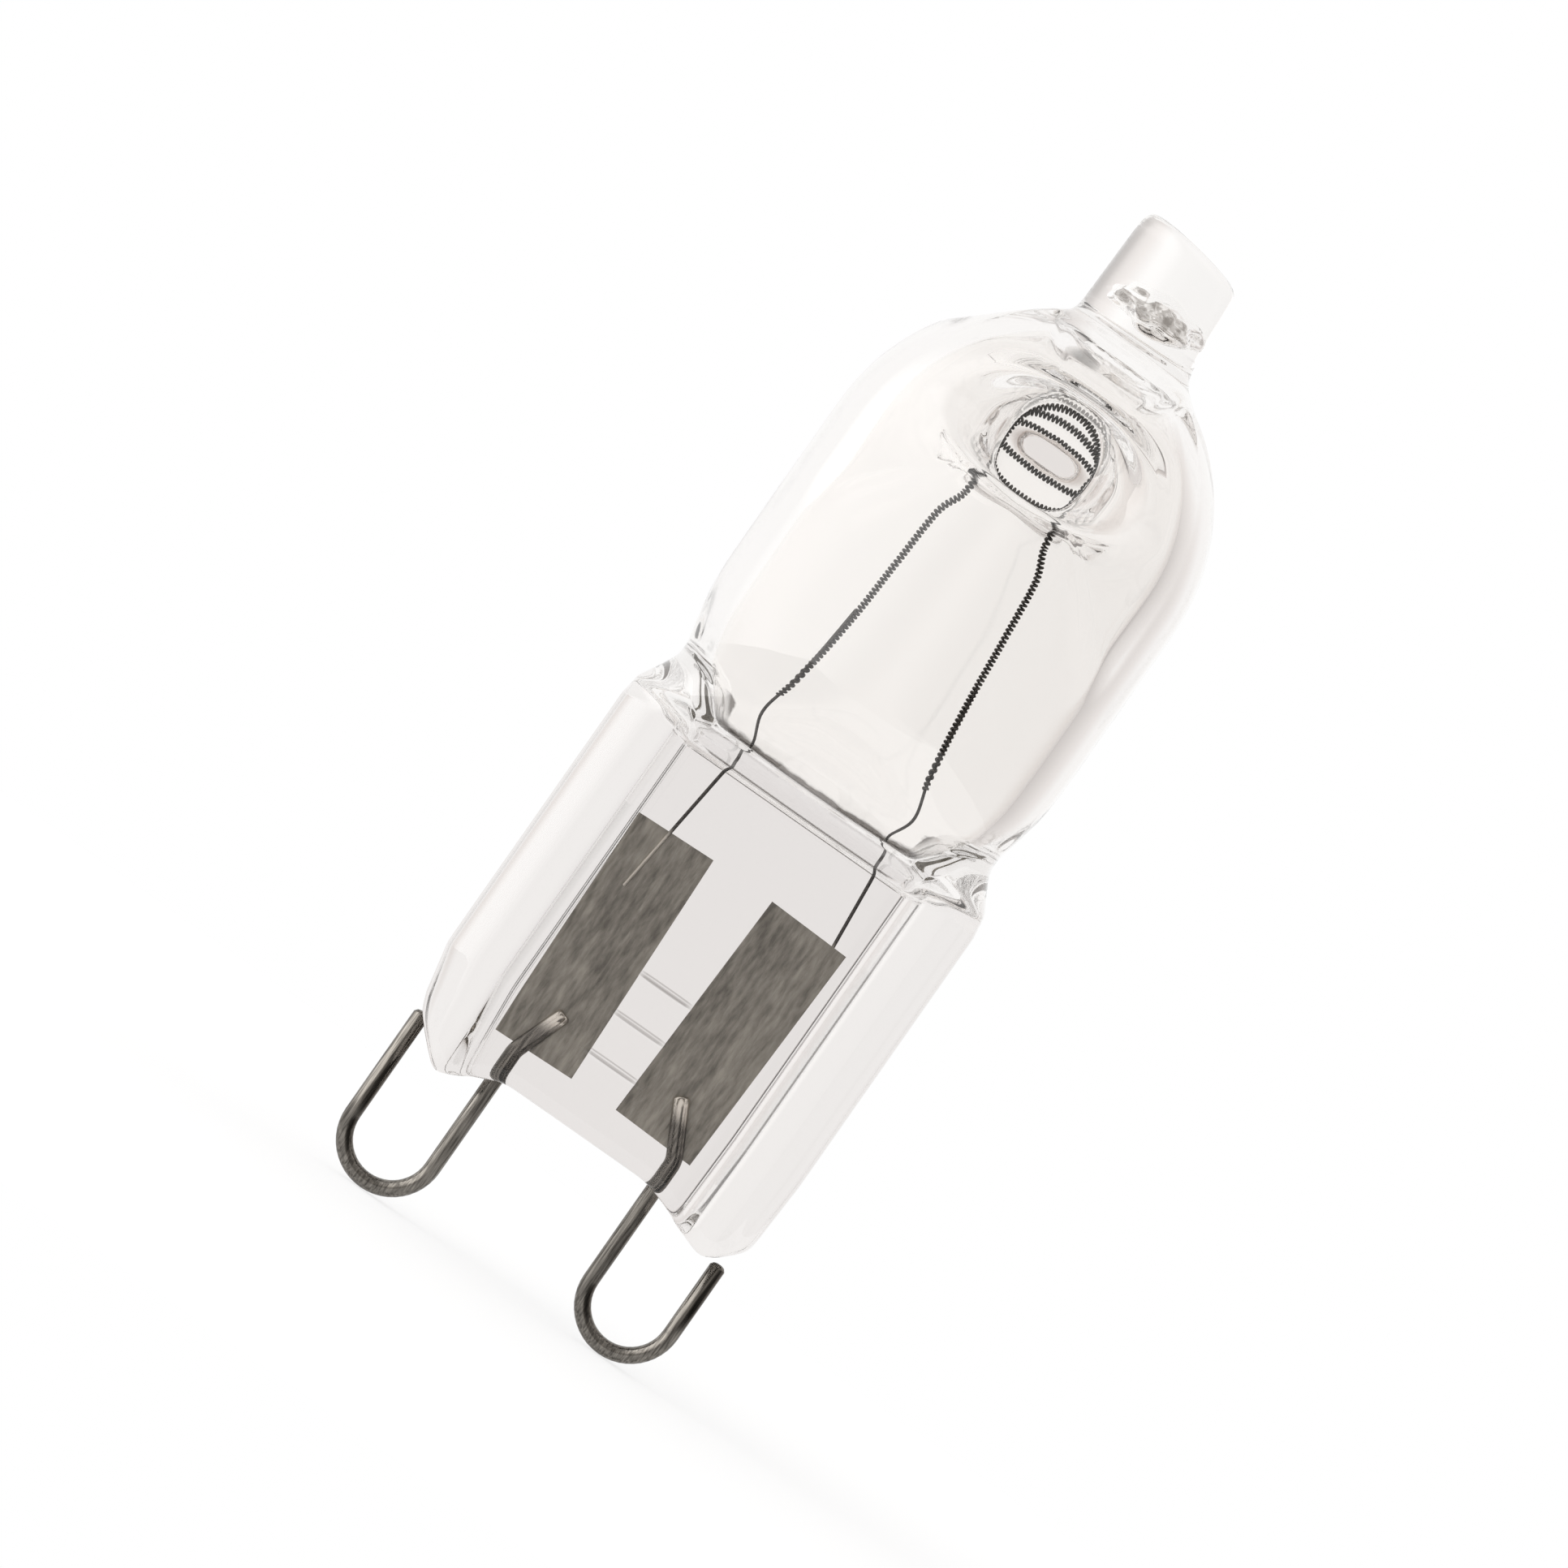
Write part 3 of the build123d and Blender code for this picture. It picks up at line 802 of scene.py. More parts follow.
# %% [markdown]
# ## Contact loops
# Each loop is one stiff wire. A bevelled curve would be quick, but its bends are only nearly round. So the section
# is a circle that is extruded along the straight runs, and these helpers draw it on step by step.

# %% Wire helpers
def verts_of(made):
    """Vertices among the parts that an operator made."""
    return [part for part in made if isinstance(part, bmesh.types.BMVert)]


def edges_of(made):
    """Edges among the parts that an operator made."""
    return [part for part in made if isinstance(part, bmesh.types.BMEdge)]


def draw_on(bm, edges, vec, grow=1.0):
    """Extrudes the end of a wire by a step, and widens or narrows it."""
    made = bmesh.ops.extrude_edge_only(bm, edges=edges)["geom"]
    fresh = verts_of(made)
    middle = sum((v.co for v in fresh), Vector()) / len(fresh)
    bmesh.ops.scale(bm, vec=(grow,) * 3, verts=fresh, space=Matrix.Translation(-middle))
    bmesh.ops.translate(bm, verts=fresh, vec=vec)
    return [e for e in edges_of(made) if set(e.verts) <= set(fresh)]


# %% [markdown]
# ## Bending the loops
# The section is spun round the bends, so they are true arcs. The wire's free end is rounded, and the end on the
# foil narrows where the welding tongs held it.

# %% Contact loops
WIRE = 0.27
LOOP_INNER, LOOP_OUTER, LOOP_BEND = 3.0, 6.0, -3.47
FREE_END = {"left": 0.34, "right": -0.82}
WELD = {"left": (0.65, 2.8), "right": (0.95, 2.8)}
WIRE_BEND, WIRE_BEND_HEIGHT = 0.8, 1.0
for side, sign in (("left", -1), ("right", 1)):
    bm = bmesh.new()
    bmesh.ops.create_circle(bm, segments=20, radius=0.1, cap_ends=True)
    bmesh.ops.translate(bm, verts=bm.verts, vec=(sign * LOOP_OUTER, 0, FREE_END[side]))
    end = draw_on(bm, list(bm.edges), (0, 0, -0.03), 1.9)
    end = draw_on(bm, end, (0, 0, -0.1), WIRE / 0.19)
    end = draw_on(bm, end, (0, 0, LOOP_BEND - FREE_END[side] + 0.13))
    middle = (sign * (LOOP_INNER + LOOP_OUTER) / 2, 0, LOOP_BEND)
    made = bmesh.ops.spin(bm, geom=end, cent=middle, axis=(0, 1, 0), angle=sign * pi, steps=24)
    end = edges_of(made["geom_last"])
    lean, weld_height = WELD[side]
    turn = atan2(lean, weld_height - WIRE_BEND_HEIGHT)
    tangent = WIRE_BEND * tan(turn / 2)
    end = draw_on(bm, end, (0, 0, WIRE_BEND_HEIGHT - tangent - LOOP_BEND))
    middle = (sign * (LOOP_INNER - WIRE_BEND), 0, WIRE_BEND_HEIGHT - tangent)
    made = bmesh.ops.spin(bm, geom=end, cent=middle, axis=(0, 1, 0), angle=-sign * turn, steps=6)
    end = edges_of(made["geom_last"])
    run = hypot(lean, weld_height - WIRE_BEND_HEIGHT) - tangent
    heading = Vector((-sign * sin(turn), 0, cos(turn)))
    for share in (0.35, 0.25, 0.2, 0.15):
        end = draw_on(bm, end, heading * run * share)
    end = draw_on(bm, end, heading * run * 0.05, 0.7)
    bmesh.ops.holes_fill(bm, edges=end, sides=0)
    bmesh.ops.recalc_face_normals(bm, faces=bm.faces)
    loop = finished(f"contact_wire_{side}", bm)
    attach(loop, "root")
    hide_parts(f"contact_loop_{side}")
    print(loop.name, len(loop.data.polygons), "faces")

# %% [markdown]
# ## Materials
# Colours are written as they look on a screen and turned to linear light by one function. One more function
# adds a node with its settings and links, and each material is named for what the real piece is made of.

# %% Material helpers
def linear(code):
    """Linear colour from an sRGB hex code."""
    values = [int(code[n:n + 2], 16) / 255 for n in (1, 3, 5)]
    return [v / 12.92 if v <= 0.04045 else ((v + 0.055) / 1.055) ** 2.4 for v in values] + [1.0]


def add_node(tree, kind, inputs=None, links=None, **settings):
    """Node with its settings, socket values and links."""
    made = tree.nodes.new(kind)
    for name, value in settings.items():
        setattr(made, name, value)
    for name, value in (inputs or {}).items():
        made.inputs[name].default_value = value
    for name, source in (links or {}).items():
        tree.links.new(source, made.inputs[name])
    return made


def new_material(name):
    """Empty node material with its output, and its tree."""
    material = bpy.data.materials.new(name)
    material.use_nodes = True
    material.node_tree.nodes.clear()
    return material, material.node_tree


def dress(piece, material):
    """Gives a piece its one material."""
    piece.data.materials.clear()
    piece.data.materials.append(material)
    print(piece.name, "wears", material.name, "with", len(material.node_tree.nodes), "nodes")


# %% [markdown]
# ## Quartz
# Fused quartz is clear and bends light a little less than window glass, with an IOR of 1.458. Its tint could be
# one colour, but the pressed web is greyer than the blown bulb, so the tint follows the height, and a little
# noise keeps the border uneven.

# %% Fused quartz
quartz, tree = new_material("fused_quartz")
place = add_node(tree, "ShaderNodeTexCoord")
axes = add_node(tree, "ShaderNodeSeparateXYZ", links={"Vector": place.outputs["Object"]})
cloud = add_node(tree, "ShaderNodeTexNoise", {"Scale": 260.0, "Detail": 3.0}, {"Vector": place.outputs["Object"]})
waver = add_node(
    tree, "ShaderNodeMath", {1: 0.0012, 2: -0.0006}, {0: cloud.outputs["Fac"]}, operation="MULTIPLY_ADD",
)
height = add_node(tree, "ShaderNodeMath", links={0: axes.outputs["Z"], 1: waver.outputs[0]}, operation="ADD")
pressed = add_node(
    tree, "ShaderNodeMapRange", {"From Min": 0.0121, "From Max": 0.0129, "To Min": 1.0, "To Max": 0.0},
    {"Value": height.outputs[0]}, interpolation_type="SMOOTHSTEP",
)
across = add_node(tree, "ShaderNodeMath", links={0: axes.outputs["X"]}, operation="ABSOLUTE")
rail = add_node(
    tree, "ShaderNodeMapRange", {"From Min": 0.0043, "From Max": 0.0049}, {"Value": across.outputs[0]},
    interpolation_type="SMOOTHSTEP",
)
web_tint = add_node(
    tree, "ShaderNodeMix", {"A": linear("#e7e3e1"), "B": linear("#f1eeec")}, {"Factor": rail.outputs["Result"]},
    data_type="RGBA",
)
tint = add_node(
    tree, "ShaderNodeMix", {"A": linear("#faf8f6")},
    {"Factor": pressed.outputs["Result"], "B": web_tint.outputs["Result"]}, data_type="RGBA",
)

# %% [markdown]
# ## Painted seam shade
# The floor of the cavity shows through the curved wall as a dark line, and that line is painted shade: just above
# the floor the tint turns dark, along its bow, with a ragged upper edge.

# %% Painted seam shade
SEAM_SHADE_FLECK = 0.5
depth = add_node(tree, "ShaderNodeMath", links={0: axes.outputs["Y"]}, operation="ABSOLUTE")
inside_y = add_node(
    tree, "ShaderNodeMapRange", {"From Min": 0.0036, "From Max": 0.0034}, {"Value": depth.outputs[0]},
)
inside_x = add_node(
    tree, "ShaderNodeMapRange", {"From Min": 0.0044, "From Max": 0.0039}, {"Value": across.outputs[0]},
)
bow = add_node(tree, "ShaderNodeMath", links={0: axes.outputs["X"], 1: axes.outputs["X"]}, operation="MULTIPLY")
level = add_node(
    tree, "ShaderNodeMath", {1: -FLOOR_SAG / WEB_HALF**2 / MM}, {0: bow.outputs[0], 2: axes.outputs["Z"]},
    operation="MULTIPLY_ADD",
)
flecks = add_node(
    tree, "ShaderNodeTexNoise", {"Scale": 1 / (SEAM_SHADE_FLECK * MM), "Detail": 3.0}, {"Vector": place.outputs["Object"]},
)
ragged = add_node(
    tree, "ShaderNodeMath", {1: 0.0002}, {0: flecks.outputs["Fac"], 2: level.outputs[0]}, operation="MULTIPLY_ADD",
)
above = add_node(
    tree, "ShaderNodeMapRange", {"From Min": 0.01340, "From Max": 0.01330}, {"Value": ragged.outputs[0]},
)
seam_shade = add_node(
    tree, "ShaderNodeMapRange", {"From Min": 0.01290, "From Max": 0.01294}, {"Value": level.outputs[0]},
)
for limit in (above, inside_y, inside_x):
    seam_shade = add_node(tree, "ShaderNodeMath", links={0: seam_shade.outputs[0], 1: limit.outputs[0]}, operation="MULTIPLY")
# Painted shade: the dark tint along the floor of the cavity.
seam_shaded = add_node(
    tree, "ShaderNodeMix", {"B": linear("#3f3b38")}, {"Factor": seam_shade.outputs[0], "A": tint.outputs["Result"]},
    data_type="RGBA",
)

# %% [markdown]
# ## Jaw marks with painted shade
# The jaws leave three lines on the web, between the foils. Their relief is in the rings above, and here they get
# painted shade: a grey that stands in for the dark lines that the relief bends into view. They lie at even steps,
# so one back-and-forth distance serves all three.

# %% Jaw marks, painted shade
LOWEST_MARK, HALF_STEP = 2.33, 0.7175
MARK_ENDS = [("Z", 5.7, 5.5), ("Z", 1.5, 1.7), ("X", -1.3, -1.0), ("X", 0.8, 0.5)]
first_mark = add_node(
    tree, "ShaderNodeMath", {1: LOWEST_MARK * MM}, {0: axes.outputs["Z"]}, operation="SUBTRACT",
)
nearest = add_node(
    tree, "ShaderNodeMath", {1: HALF_STEP * MM}, {0: first_mark.outputs[0]}, operation="PINGPONG",
)
mark_shade = add_node(
    tree, "ShaderNodeMapRange", {"From Min": 0.00007, "From Max": 0.00002}, {"Value": nearest.outputs[0]},
)
for axis, none, full in MARK_ENDS:
    limit = add_node(
        tree, "ShaderNodeMapRange", {"From Min": none * MM, "From Max": full * MM}, {"Value": axes.outputs[axis]},
    )
    mark_shade = add_node(tree, "ShaderNodeMath", links={0: mark_shade.outputs[0], 1: limit.outputs[0]}, operation="MULTIPLY")
# Painted shade: the grey of the jaw marks.
mark_shaded = add_node(
    tree, "ShaderNodeMix", {"B": linear("#a19c99")}, {"Factor": mark_shade.outputs[0], "A": seam_shaded.outputs["Result"]},
    data_type="RGBA",
)

# %% [markdown]
# ## Painted shade in the bubble
# The bubble in the tip gets patchy painted shade, which stands in for the dark reflections on its skin. Noise
# decides where the glass near the bubble is grey.

# %% Painted bubble shade
BUBBLE_SHADE_PATCH = 0.42
from_bubble = add_node(
    tree, "ShaderNodeVectorMath", {1: BUBBLE_MIDDLE * MM}, {0: place.outputs["Object"]}, operation="DISTANCE",
)
in_bubble = add_node(
    tree, "ShaderNodeMapRange", {"From Min": 0.00178, "From Max": 0.0016}, {"Value": from_bubble.outputs["Value"]},
)
patches = add_node(
    tree, "ShaderNodeTexNoise", {"Scale": 1 / (BUBBLE_SHADE_PATCH * MM), "Detail": 2.0}, {"Vector": place.outputs["Object"]},
)
bubble_shade = add_node(
    tree, "ShaderNodeMapRange", {"From Min": 0.42, "From Max": 0.62}, {"Value": patches.outputs["Fac"]},
    interpolation_type="SMOOTHSTEP",
)
bubble_shade = add_node(
    tree, "ShaderNodeMath", links={0: bubble_shade.outputs["Result"], 1: in_bubble.outputs["Result"]}, operation="MULTIPLY",
)
# Painted shade: grey patches on the glass round the bubble.
bubble_shaded = add_node(
    tree, "ShaderNodeMix", {"B": linear("#9a9590")}, {"Factor": bubble_shade.outputs[0], "A": mark_shaded.outputs["Result"]},
    data_type="RGBA",
)

# %% [markdown]
# ## Bridge and shader
# The post of the bridge is tinted a shade greyer than the wall. An oval distance from its axis picks it out. The
# shader itself is plain clear glass with these tints.

# %% Bridge and glass shader
from_bridge = add_node(
    tree, "ShaderNodeVectorMath", {1: (0, 0, -BRIDGE_HEIGHT * MM)}, {0: place.outputs["Object"]}, operation="ADD",
)
oval = add_node(
    tree, "ShaderNodeVectorMath", {1: (1 / (BRIDGE[0] * MM), 0, 1 / (BRIDGE[1] * MM))},
    {0: from_bridge.outputs["Vector"]}, operation="MULTIPLY",
)
off_axis = add_node(tree, "ShaderNodeVectorMath", links={0: oval.outputs["Vector"]}, operation="LENGTH")
in_oval = add_node(
    tree, "ShaderNodeMapRange", {"From Min": 1.5, "From Max": 1.1}, {"Value": off_axis.outputs["Value"]},
)
near_axis = add_node(
    tree, "ShaderNodeMapRange", {"From Min": 0.0014, "From Max": 0.0012}, {"Value": depth.outputs[0]},
)
in_post = add_node(
    tree, "ShaderNodeMath", links={0: in_oval.outputs[0], 1: near_axis.outputs[0]}, operation="MULTIPLY",
)
all_tints = add_node(
    tree, "ShaderNodeMix", {"B": linear("#e6e1de")}, {"Factor": in_post.outputs[0], "A": bubble_shaded.outputs["Result"]},
    data_type="RGBA",
)
glass_shader = add_node(
    tree, "ShaderNodeBsdfPrincipled", {"Roughness": 0.0, "IOR": 1.458, "Transmission Weight": 1.0},
    {"Base Color": all_tints.outputs["Result"]},
)
add_node(tree, "ShaderNodeOutputMaterial", links={"Surface": glass_shader.outputs["BSDF"]})
dress(glass, quartz)

# %% [markdown]
# ## Wire
# The loops are bent from stiff drawn wire. The die leaves fine lines along it, so its gloss is streaky, and
# where it was welded to the foil inside the glass it is bare and pale.

# %% Drawn wire
DRAWN_LINE, WIRE_CLOUD = 0.06, 0.9
wire_metal, tree = new_material("drawn_molybdenum_wire")
place = add_node(tree, "ShaderNodeTexCoord")
axes = add_node(tree, "ShaderNodeSeparateXYZ", links={"Vector": place.outputs["Object"]})
along = add_node(tree, "ShaderNodeMapping", {"Scale": (1.0, 1.0, 0.06)}, {"Vector": place.outputs["Object"]})
lines = add_node(
    tree, "ShaderNodeTexNoise", {"Scale": 1 / (DRAWN_LINE * MM), "Detail": 3.0},
    {"Vector": along.outputs["Vector"]},
)
cloud = add_node(
    tree, "ShaderNodeTexNoise", {"Scale": 1 / (WIRE_CLOUD * MM), "Detail": 3.0},
    {"Vector": place.outputs["Object"]},
)
streaks = add_node(tree, "ShaderNodeValToRGB", links={"Fac": lines.outputs["Fac"]})
streaks.color_ramp.elements[0].position, streaks.color_ramp.elements[0].color = 0.3, linear("#4a4743")
streaks.color_ramp.elements[1].position, streaks.color_ramp.elements[1].color = 0.75, linear("#928d86")
weld = add_node(
    tree, "ShaderNodeMapRange", {"From Min": 0.0019, "From Max": 0.0025}, {"Value": axes.outputs["Z"]},
    interpolation_type="SMOOTHSTEP",
)
color = add_node(
    tree, "ShaderNodeMix", {"B": linear("#e4ded4")},
    {"Factor": weld.outputs["Result"], "A": streaks.outputs["Color"]}, data_type="RGBA",
)
gloss = add_node(tree, "ShaderNodeMapRange", {"To Min": 0.1, "To Max": 0.26}, {"Value": cloud.outputs["Fac"]})
relief = add_node(
    tree, "ShaderNodeBump", {"Strength": 0.35, "Distance": 0.00001}, {"Height": lines.outputs["Fac"]},
)
shader = add_node(
    tree, "ShaderNodeBsdfPrincipled", {"Metallic": 1.0},
    {
        "Base Color": color.outputs["Result"], "Roughness": gloss.outputs["Result"],
        "Normal": relief.outputs["Normal"],
    },
)
add_node(tree, "ShaderNodeOutputMaterial", links={"Surface": shader.outputs["BSDF"]})
for side in ("left", "right"):
    dress(bpy.data.objects[f"contact_wire_{side}"], wire_metal)

# %% [markdown]
# ## Foil
# The gas-tight seal is a foil of molybdenum a few hundredths of a millimetre thick. Rolling and the hot quartz
# leave it satin and mottled, with streaks along its length, and it is warm grey.

# %% Rolled foil
ROLLED_STREAK, BLOTCH = 0.16, 0.8
foil_metal, tree = new_material("molybdenum_foil")
place = add_node(tree, "ShaderNodeTexCoord")
along = add_node(tree, "ShaderNodeMapping", {"Scale": (1.0, 1.0, 0.22)}, {"Vector": place.outputs["Object"]})
streak = add_node(
    tree, "ShaderNodeTexNoise", {"Scale": 1 / (ROLLED_STREAK * MM), "Detail": 4.0, "Roughness": 0.6},
    {"Vector": along.outputs["Vector"]},
)
blotch = add_node(
    tree, "ShaderNodeTexNoise", {"Scale": 1 / (BLOTCH * MM), "Detail": 4.0, "Distortion": 0.8},
    {"Vector": along.outputs["Vector"]},
)
grain = add_node(tree, "ShaderNodeMath", {1: 0.55}, {0: streak.outputs["Fac"]}, operation="MULTIPLY")
mottle = add_node(
    tree, "ShaderNodeMath", {1: 0.45}, {0: blotch.outputs["Fac"], 2: grain.outputs[0]}, operation="MULTIPLY_ADD",
)
tones = add_node(tree, "ShaderNodeValToRGB", links={"Fac": mottle.outputs[0]})
tones.color_ramp.elements[0].position, tones.color_ramp.elements[0].color = 0.36, linear("#726e67")
tones.color_ramp.elements[1].position, tones.color_ramp.elements[1].color = 0.66, linear("#bab5ab")
gloss = add_node(tree, "ShaderNodeMapRange", {"To Min": 0.32, "To Max": 0.55}, {"Value": blotch.outputs["Fac"]})
relief = add_node(tree, "ShaderNodeBump", {"Strength": 0.5, "Distance": 0.00003}, {"Height": mottle.outputs[0]})
shader = add_node(
    tree, "ShaderNodeBsdfPrincipled", {"Metallic": 1.0},
    {
        "Base Color": tones.outputs["Color"], "Roughness": gloss.outputs["Result"],
        "Normal": relief.outputs["Normal"],
    },
)
add_node(tree, "ShaderNodeOutputMaterial", links={"Surface": shader.outputs["BSDF"]})
for side in ("left", "right"):
    dress(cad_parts[f"seal_foil_{side}"], foil_metal)

# %% [markdown]
# ## Tungsten
# Drawn tungsten is dark and dull, with a grain along the wire. The leads are bright only where the welding
# electrode cleaned them, on the foil.

# %% Tungsten
GRAIN = 0.1
tungsten, tree = new_material("tungsten")
place = add_node(tree, "ShaderNodeTexCoord")
axes = add_node(tree, "ShaderNodeSeparateXYZ", links={"Vector": place.outputs["Object"]})
grain = add_node(
    tree, "ShaderNodeTexNoise", {"Scale": 1 / (GRAIN * MM), "Detail": 3.0}, {"Vector": place.outputs["Object"]},
)
tones = add_node(tree, "ShaderNodeValToRGB", links={"Fac": grain.outputs["Fac"]})
tones.color_ramp.elements[0].position, tones.color_ramp.elements[0].color = 0.3, linear("#3f3c3a")
tones.color_ramp.elements[1].position, tones.color_ramp.elements[1].color = 0.75, linear("#67635f")
weld = add_node(
    tree, "ShaderNodeMapRange", {"From Min": 0.0095, "From Max": 0.0090}, {"Value": axes.outputs["Z"]},
    interpolation_type="SMOOTHSTEP",
)
color = add_node(
    tree, "ShaderNodeMix", {"B": linear("#d9d3c9")},
    {"Factor": weld.outputs["Result"], "A": tones.outputs["Color"]}, data_type="RGBA",
)
gloss = add_node(tree, "ShaderNodeMapRange", {"To Min": 0.32, "To Max": 0.55}, {"Value": grain.outputs["Fac"]})
relief = add_node(tree, "ShaderNodeBump", {"Strength": 0.3, "Distance": 0.00001}, {"Height": grain.outputs["Fac"]})
shader = add_node(
    tree, "ShaderNodeBsdfPrincipled", {"Metallic": 1.0},
    {
        "Base Color": color.outputs["Result"], "Roughness": gloss.outputs["Result"],
        "Normal": relief.outputs["Normal"],
    },
)
add_node(tree, "ShaderNodeOutputMaterial", links={"Surface": shader.outputs["BSDF"]})
dress(coil, tungsten)
for side in ("left", "right"):
    dress(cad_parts[f"inner_lead_{side}"], tungsten)

# %% [markdown]
# ## Studio
# White all round would make clear glass vanish. So the studio is white behind, light grey in front and grey to
# the right, with a dark card at the front right. The rims of the glass and the round wires bend these tones into
# view. The grey front shows in reflections only, so the glass stays clear when it is seen from the back.

# %% Walls of the studio
CARD_WAY = Vector((0.8, -0.6, 0.0))
world = bpy.data.worlds.new("studio")
bpy.context.scene.world = world
world.use_nodes = True
tree = world.node_tree
tree.nodes.clear()
place = add_node(tree, "ShaderNodeTexCoord")
axes = add_node(tree, "ShaderNodeSeparateXYZ", links={"Vector": place.outputs["Generated"]})
across = add_node(
    tree, "ShaderNodeMapRange", {"From Min": -1.0, "From Max": 1.0}, {"Value": axes.outputs["X"]},
)
tones = add_node(tree, "ShaderNodeValToRGB", links={"Fac": across.outputs["Result"]})
ramp = tones.color_ramp
ramp.elements[0].position, ramp.elements[0].color = 0.0, linear("#ffffff")
ramp.elements[1].position, ramp.elements[1].color = 1.0, linear("#b0acab")
for position, color in ((0.64, "#ffffff"), (0.74, "#eeeae8"), (0.81, "#e3dfdd")):
    element = ramp.elements.new(position)
    element.color = linear(color)
rays = add_node(tree, "ShaderNodeLightPath")
front = add_node(
    tree, "ShaderNodeMapRange", {"From Min": -0.1, "From Max": -0.8}, {"Value": axes.outputs["Y"]},
    interpolation_type="SMOOTHSTEP",
)
mirrored = add_node(
    tree, "ShaderNodeMath", {0: 1.0}, {1: rays.outputs["Is Transmission Ray"]}, operation="SUBTRACT",
)
front_grey = add_node(
    tree, "ShaderNodeMath", links={0: front.outputs["Result"], 1: mirrored.outputs[0]}, operation="MULTIPLY",
)
room = add_node(
    tree, "ShaderNodeMix", {"B": linear("#c8c5c2")},
    {"Factor": front_grey.outputs[0], "A": tones.outputs["Color"]}, data_type="RGBA",
)
toward_card = add_node(
    tree, "ShaderNodeVectorMath", {1: CARD_WAY}, {0: place.outputs["Generated"]}, operation="DOT_PRODUCT",
)
card = add_node(
    tree, "ShaderNodeMapRange", {"From Min": 0.6, "From Max": 0.92}, {"Value": toward_card.outputs["Value"]},
    interpolation_type="SMOOTHSTEP",
)
carded = add_node(
    tree, "ShaderNodeMix", {"B": linear("#4c4a48")}, {"Factor": card.outputs["Result"], "A": room.outputs["Result"]},
    data_type="RGBA",
)

# %% [markdown]
# ## Key light
# A broad soft light stands on the left and draws the bright lines on glass and wire. It shows in the first
# reflections only, because deeper ones would fill the glass with stray glints. The camera itself sees plain white.

# %% Key light
KEY_WAY, KEY_STRENGTH = Vector((-0.9, -0.42, 0.1)).normalized(), 2.3
toward_key = add_node(
    tree, "ShaderNodeVectorMath", {1: KEY_WAY}, {0: place.outputs["Generated"]}, operation="DOT_PRODUCT",
)
key = add_node(
    tree, "ShaderNodeMapRange", {"From Min": 0.5, "From Max": 0.95, "To Min": 0.0, "To Max": KEY_STRENGTH},
    {"Value": toward_key.outputs["Value"]}, interpolation_type="SMOOTHSTEP",
)
first = add_node(tree, "ShaderNodeMath", {1: 3.5}, {0: rays.outputs["Ray Depth"]}, operation="LESS_THAN")
strength = add_node(
    tree, "ShaderNodeMath", links={0: key.outputs["Result"], 1: first.outputs[0]}, operation="MULTIPLY",
)
walls = add_node(tree, "ShaderNodeBackground", {"Strength": 1.0}, {"Color": carded.outputs["Result"]})
softbox = add_node(tree, "ShaderNodeBackground", {"Color": (1, 1, 1, 1)}, {"Strength": strength.outputs[0]})
surround = add_node(
    tree, "ShaderNodeAddShader", links={0: walls.outputs["Background"], 1: softbox.outputs["Background"]},
)
backdrop = add_node(tree, "ShaderNodeBackground", {"Color": (1, 1, 1, 1), "Strength": 1.0})
choice = add_node(
    tree, "ShaderNodeMixShader",
    links={0: rays.outputs["Is Camera Ray"], 1: surround.outputs["Shader"], 2: backdrop.outputs["Background"]},
)
add_node(tree, "ShaderNodeOutputWorld", links={"Surface": choice.outputs["Shader"]})
print("studio:", len(tree.nodes), "nodes")

# %% [markdown]
# ## Light paths
# A ray that crosses this bulb meets glass up to a dozen times, and more inside the dents. With Blender's usual
# limit such rays end early and leave black spots, so the limit is raised.

# %% Light paths
cycles = bpy.context.scene.cycles
cycles.max_bounces = cycles.glossy_bounces = cycles.transmission_bounces = 48
print("bounces:", cycles.max_bounces)

# %% [markdown]
# ## Floor
# The floor is a small matt white sheet under the loops. Most of its white is its own light, so it shows as plain
# white to the camera, in the glass and in the metal, and the rest is lit by the studio, which keeps the shadow.

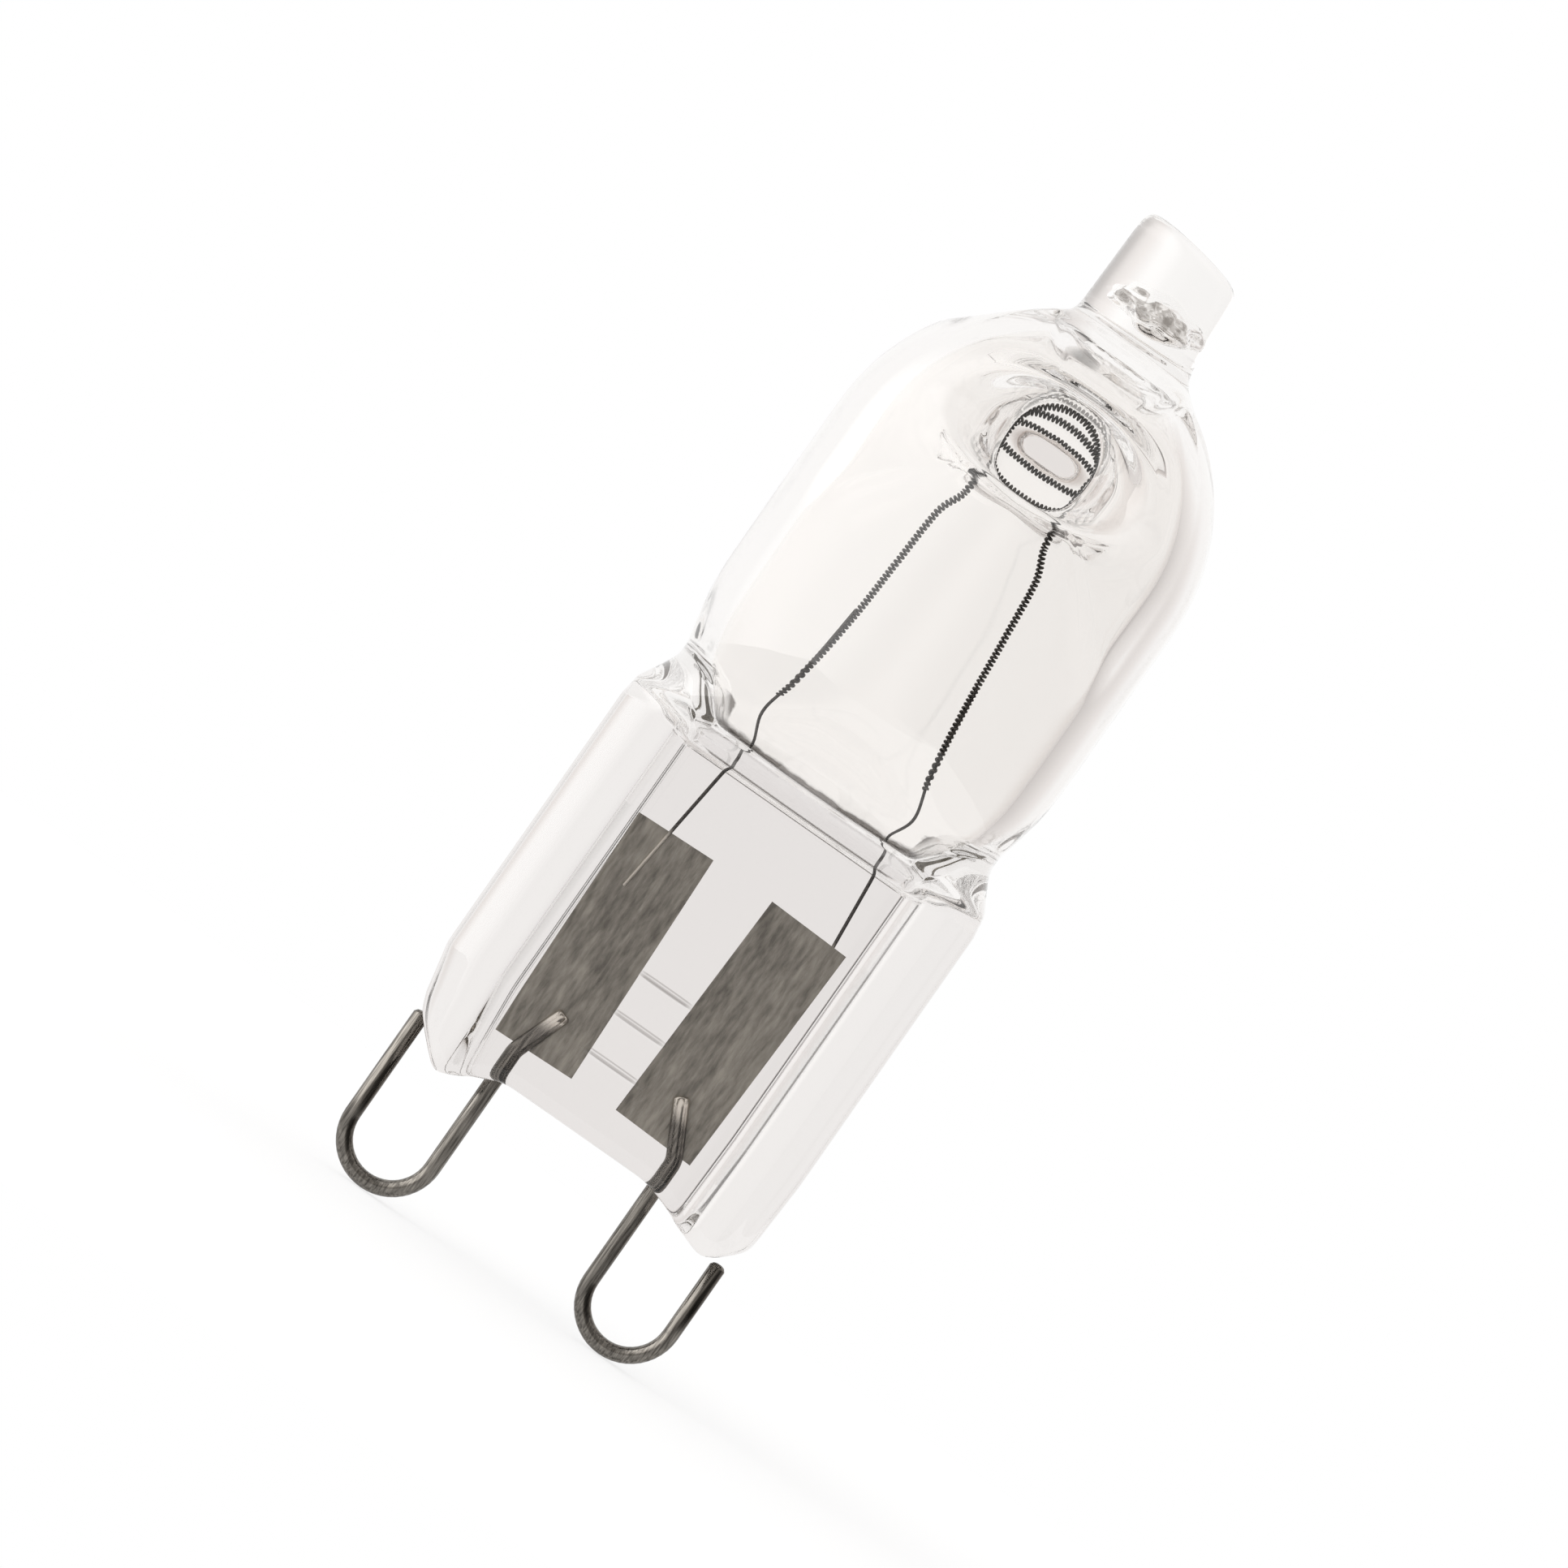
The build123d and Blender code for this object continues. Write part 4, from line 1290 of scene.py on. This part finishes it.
# %% Floor
FLOOR_HALF = 70
floor_height = cad_box[0].z / MM - 0.02
bm = bmesh.new()
bmesh.ops.create_grid(bm, x_segments=1, y_segments=1, size=FLOOR_HALF)
bmesh.ops.translate(bm, verts=bm.verts, vec=(0, 0, floor_height))
floor = finished("floor", bm)
floor_paint, tree = new_material("matt_white_sheet")
matte = add_node(tree, "ShaderNodeBsdfDiffuse", {"Color": linear("#f4f4f4")})
faint = add_node(tree, "ShaderNodeBsdfDiffuse", {"Color": (0.3, 0.3, 0.3, 1)})
glow = add_node(tree, "ShaderNodeEmission", {"Color": (1, 1, 1, 1), "Strength": 0.7})
seen = add_node(tree, "ShaderNodeAddShader", links={0: faint.outputs["BSDF"], 1: glow.outputs["Emission"]})
rays = add_node(tree, "ShaderNodeLightPath")
seen_by = rays.outputs["Is Camera Ray"]
for kind in ("Is Transmission Ray", "Is Glossy Ray"):
    seen_by = add_node(
        tree, "ShaderNodeMath", links={0: seen_by, 1: rays.outputs[kind]}, operation="MAXIMUM",
    ).outputs[0]
blend = add_node(
    tree, "ShaderNodeMixShader",
    links={0: seen_by, 1: matte.outputs["BSDF"], 2: seen.outputs["Shader"]},
)
add_node(tree, "ShaderNodeOutputMaterial", links={"Surface": blend.outputs["Shader"]})
dress(floor, floor_paint)
print("floor under the loops at", round(floor_height, 2), "mm")

# %% [markdown]
# ## Camera
# The photograph looks straight at the front with a long lens, and the bulb leans to the right in the picture.
# The bulb keeps its own upright frame here, so the camera is rolled instead.

# %% Camera
PICTURE, PIXELS_PER_MM = 1932, 39.8
ROLL = radians(35.0)
AIM = Vector((-0.9045, 0, 12.513))
camera_data = bpy.data.cameras.new("camera")
camera_data.lens = 200
camera_data.sensor_width = 36
distance = PICTURE / PIXELS_PER_MM * camera_data.lens / camera_data.sensor_width
camera = bpy.data.objects.new("camera", camera_data)
bpy.context.scene.collection.objects.link(camera)
bpy.context.scene.camera = camera
forward = Vector((0, 1, 0))
image_right = Vector((cos(ROLL), 0, sin(ROLL)))
image_up = Vector((-sin(ROLL), 0, cos(ROLL)))
turned = Matrix((image_right, image_up, -forward)).transposed().to_4x4()
camera.matrix_world = Matrix.Translation((AIM - forward * distance) * MM) @ turned
bpy.context.scene.view_settings.view_transform = "Standard"
print("camera distance:", round(distance, 1), "mm")
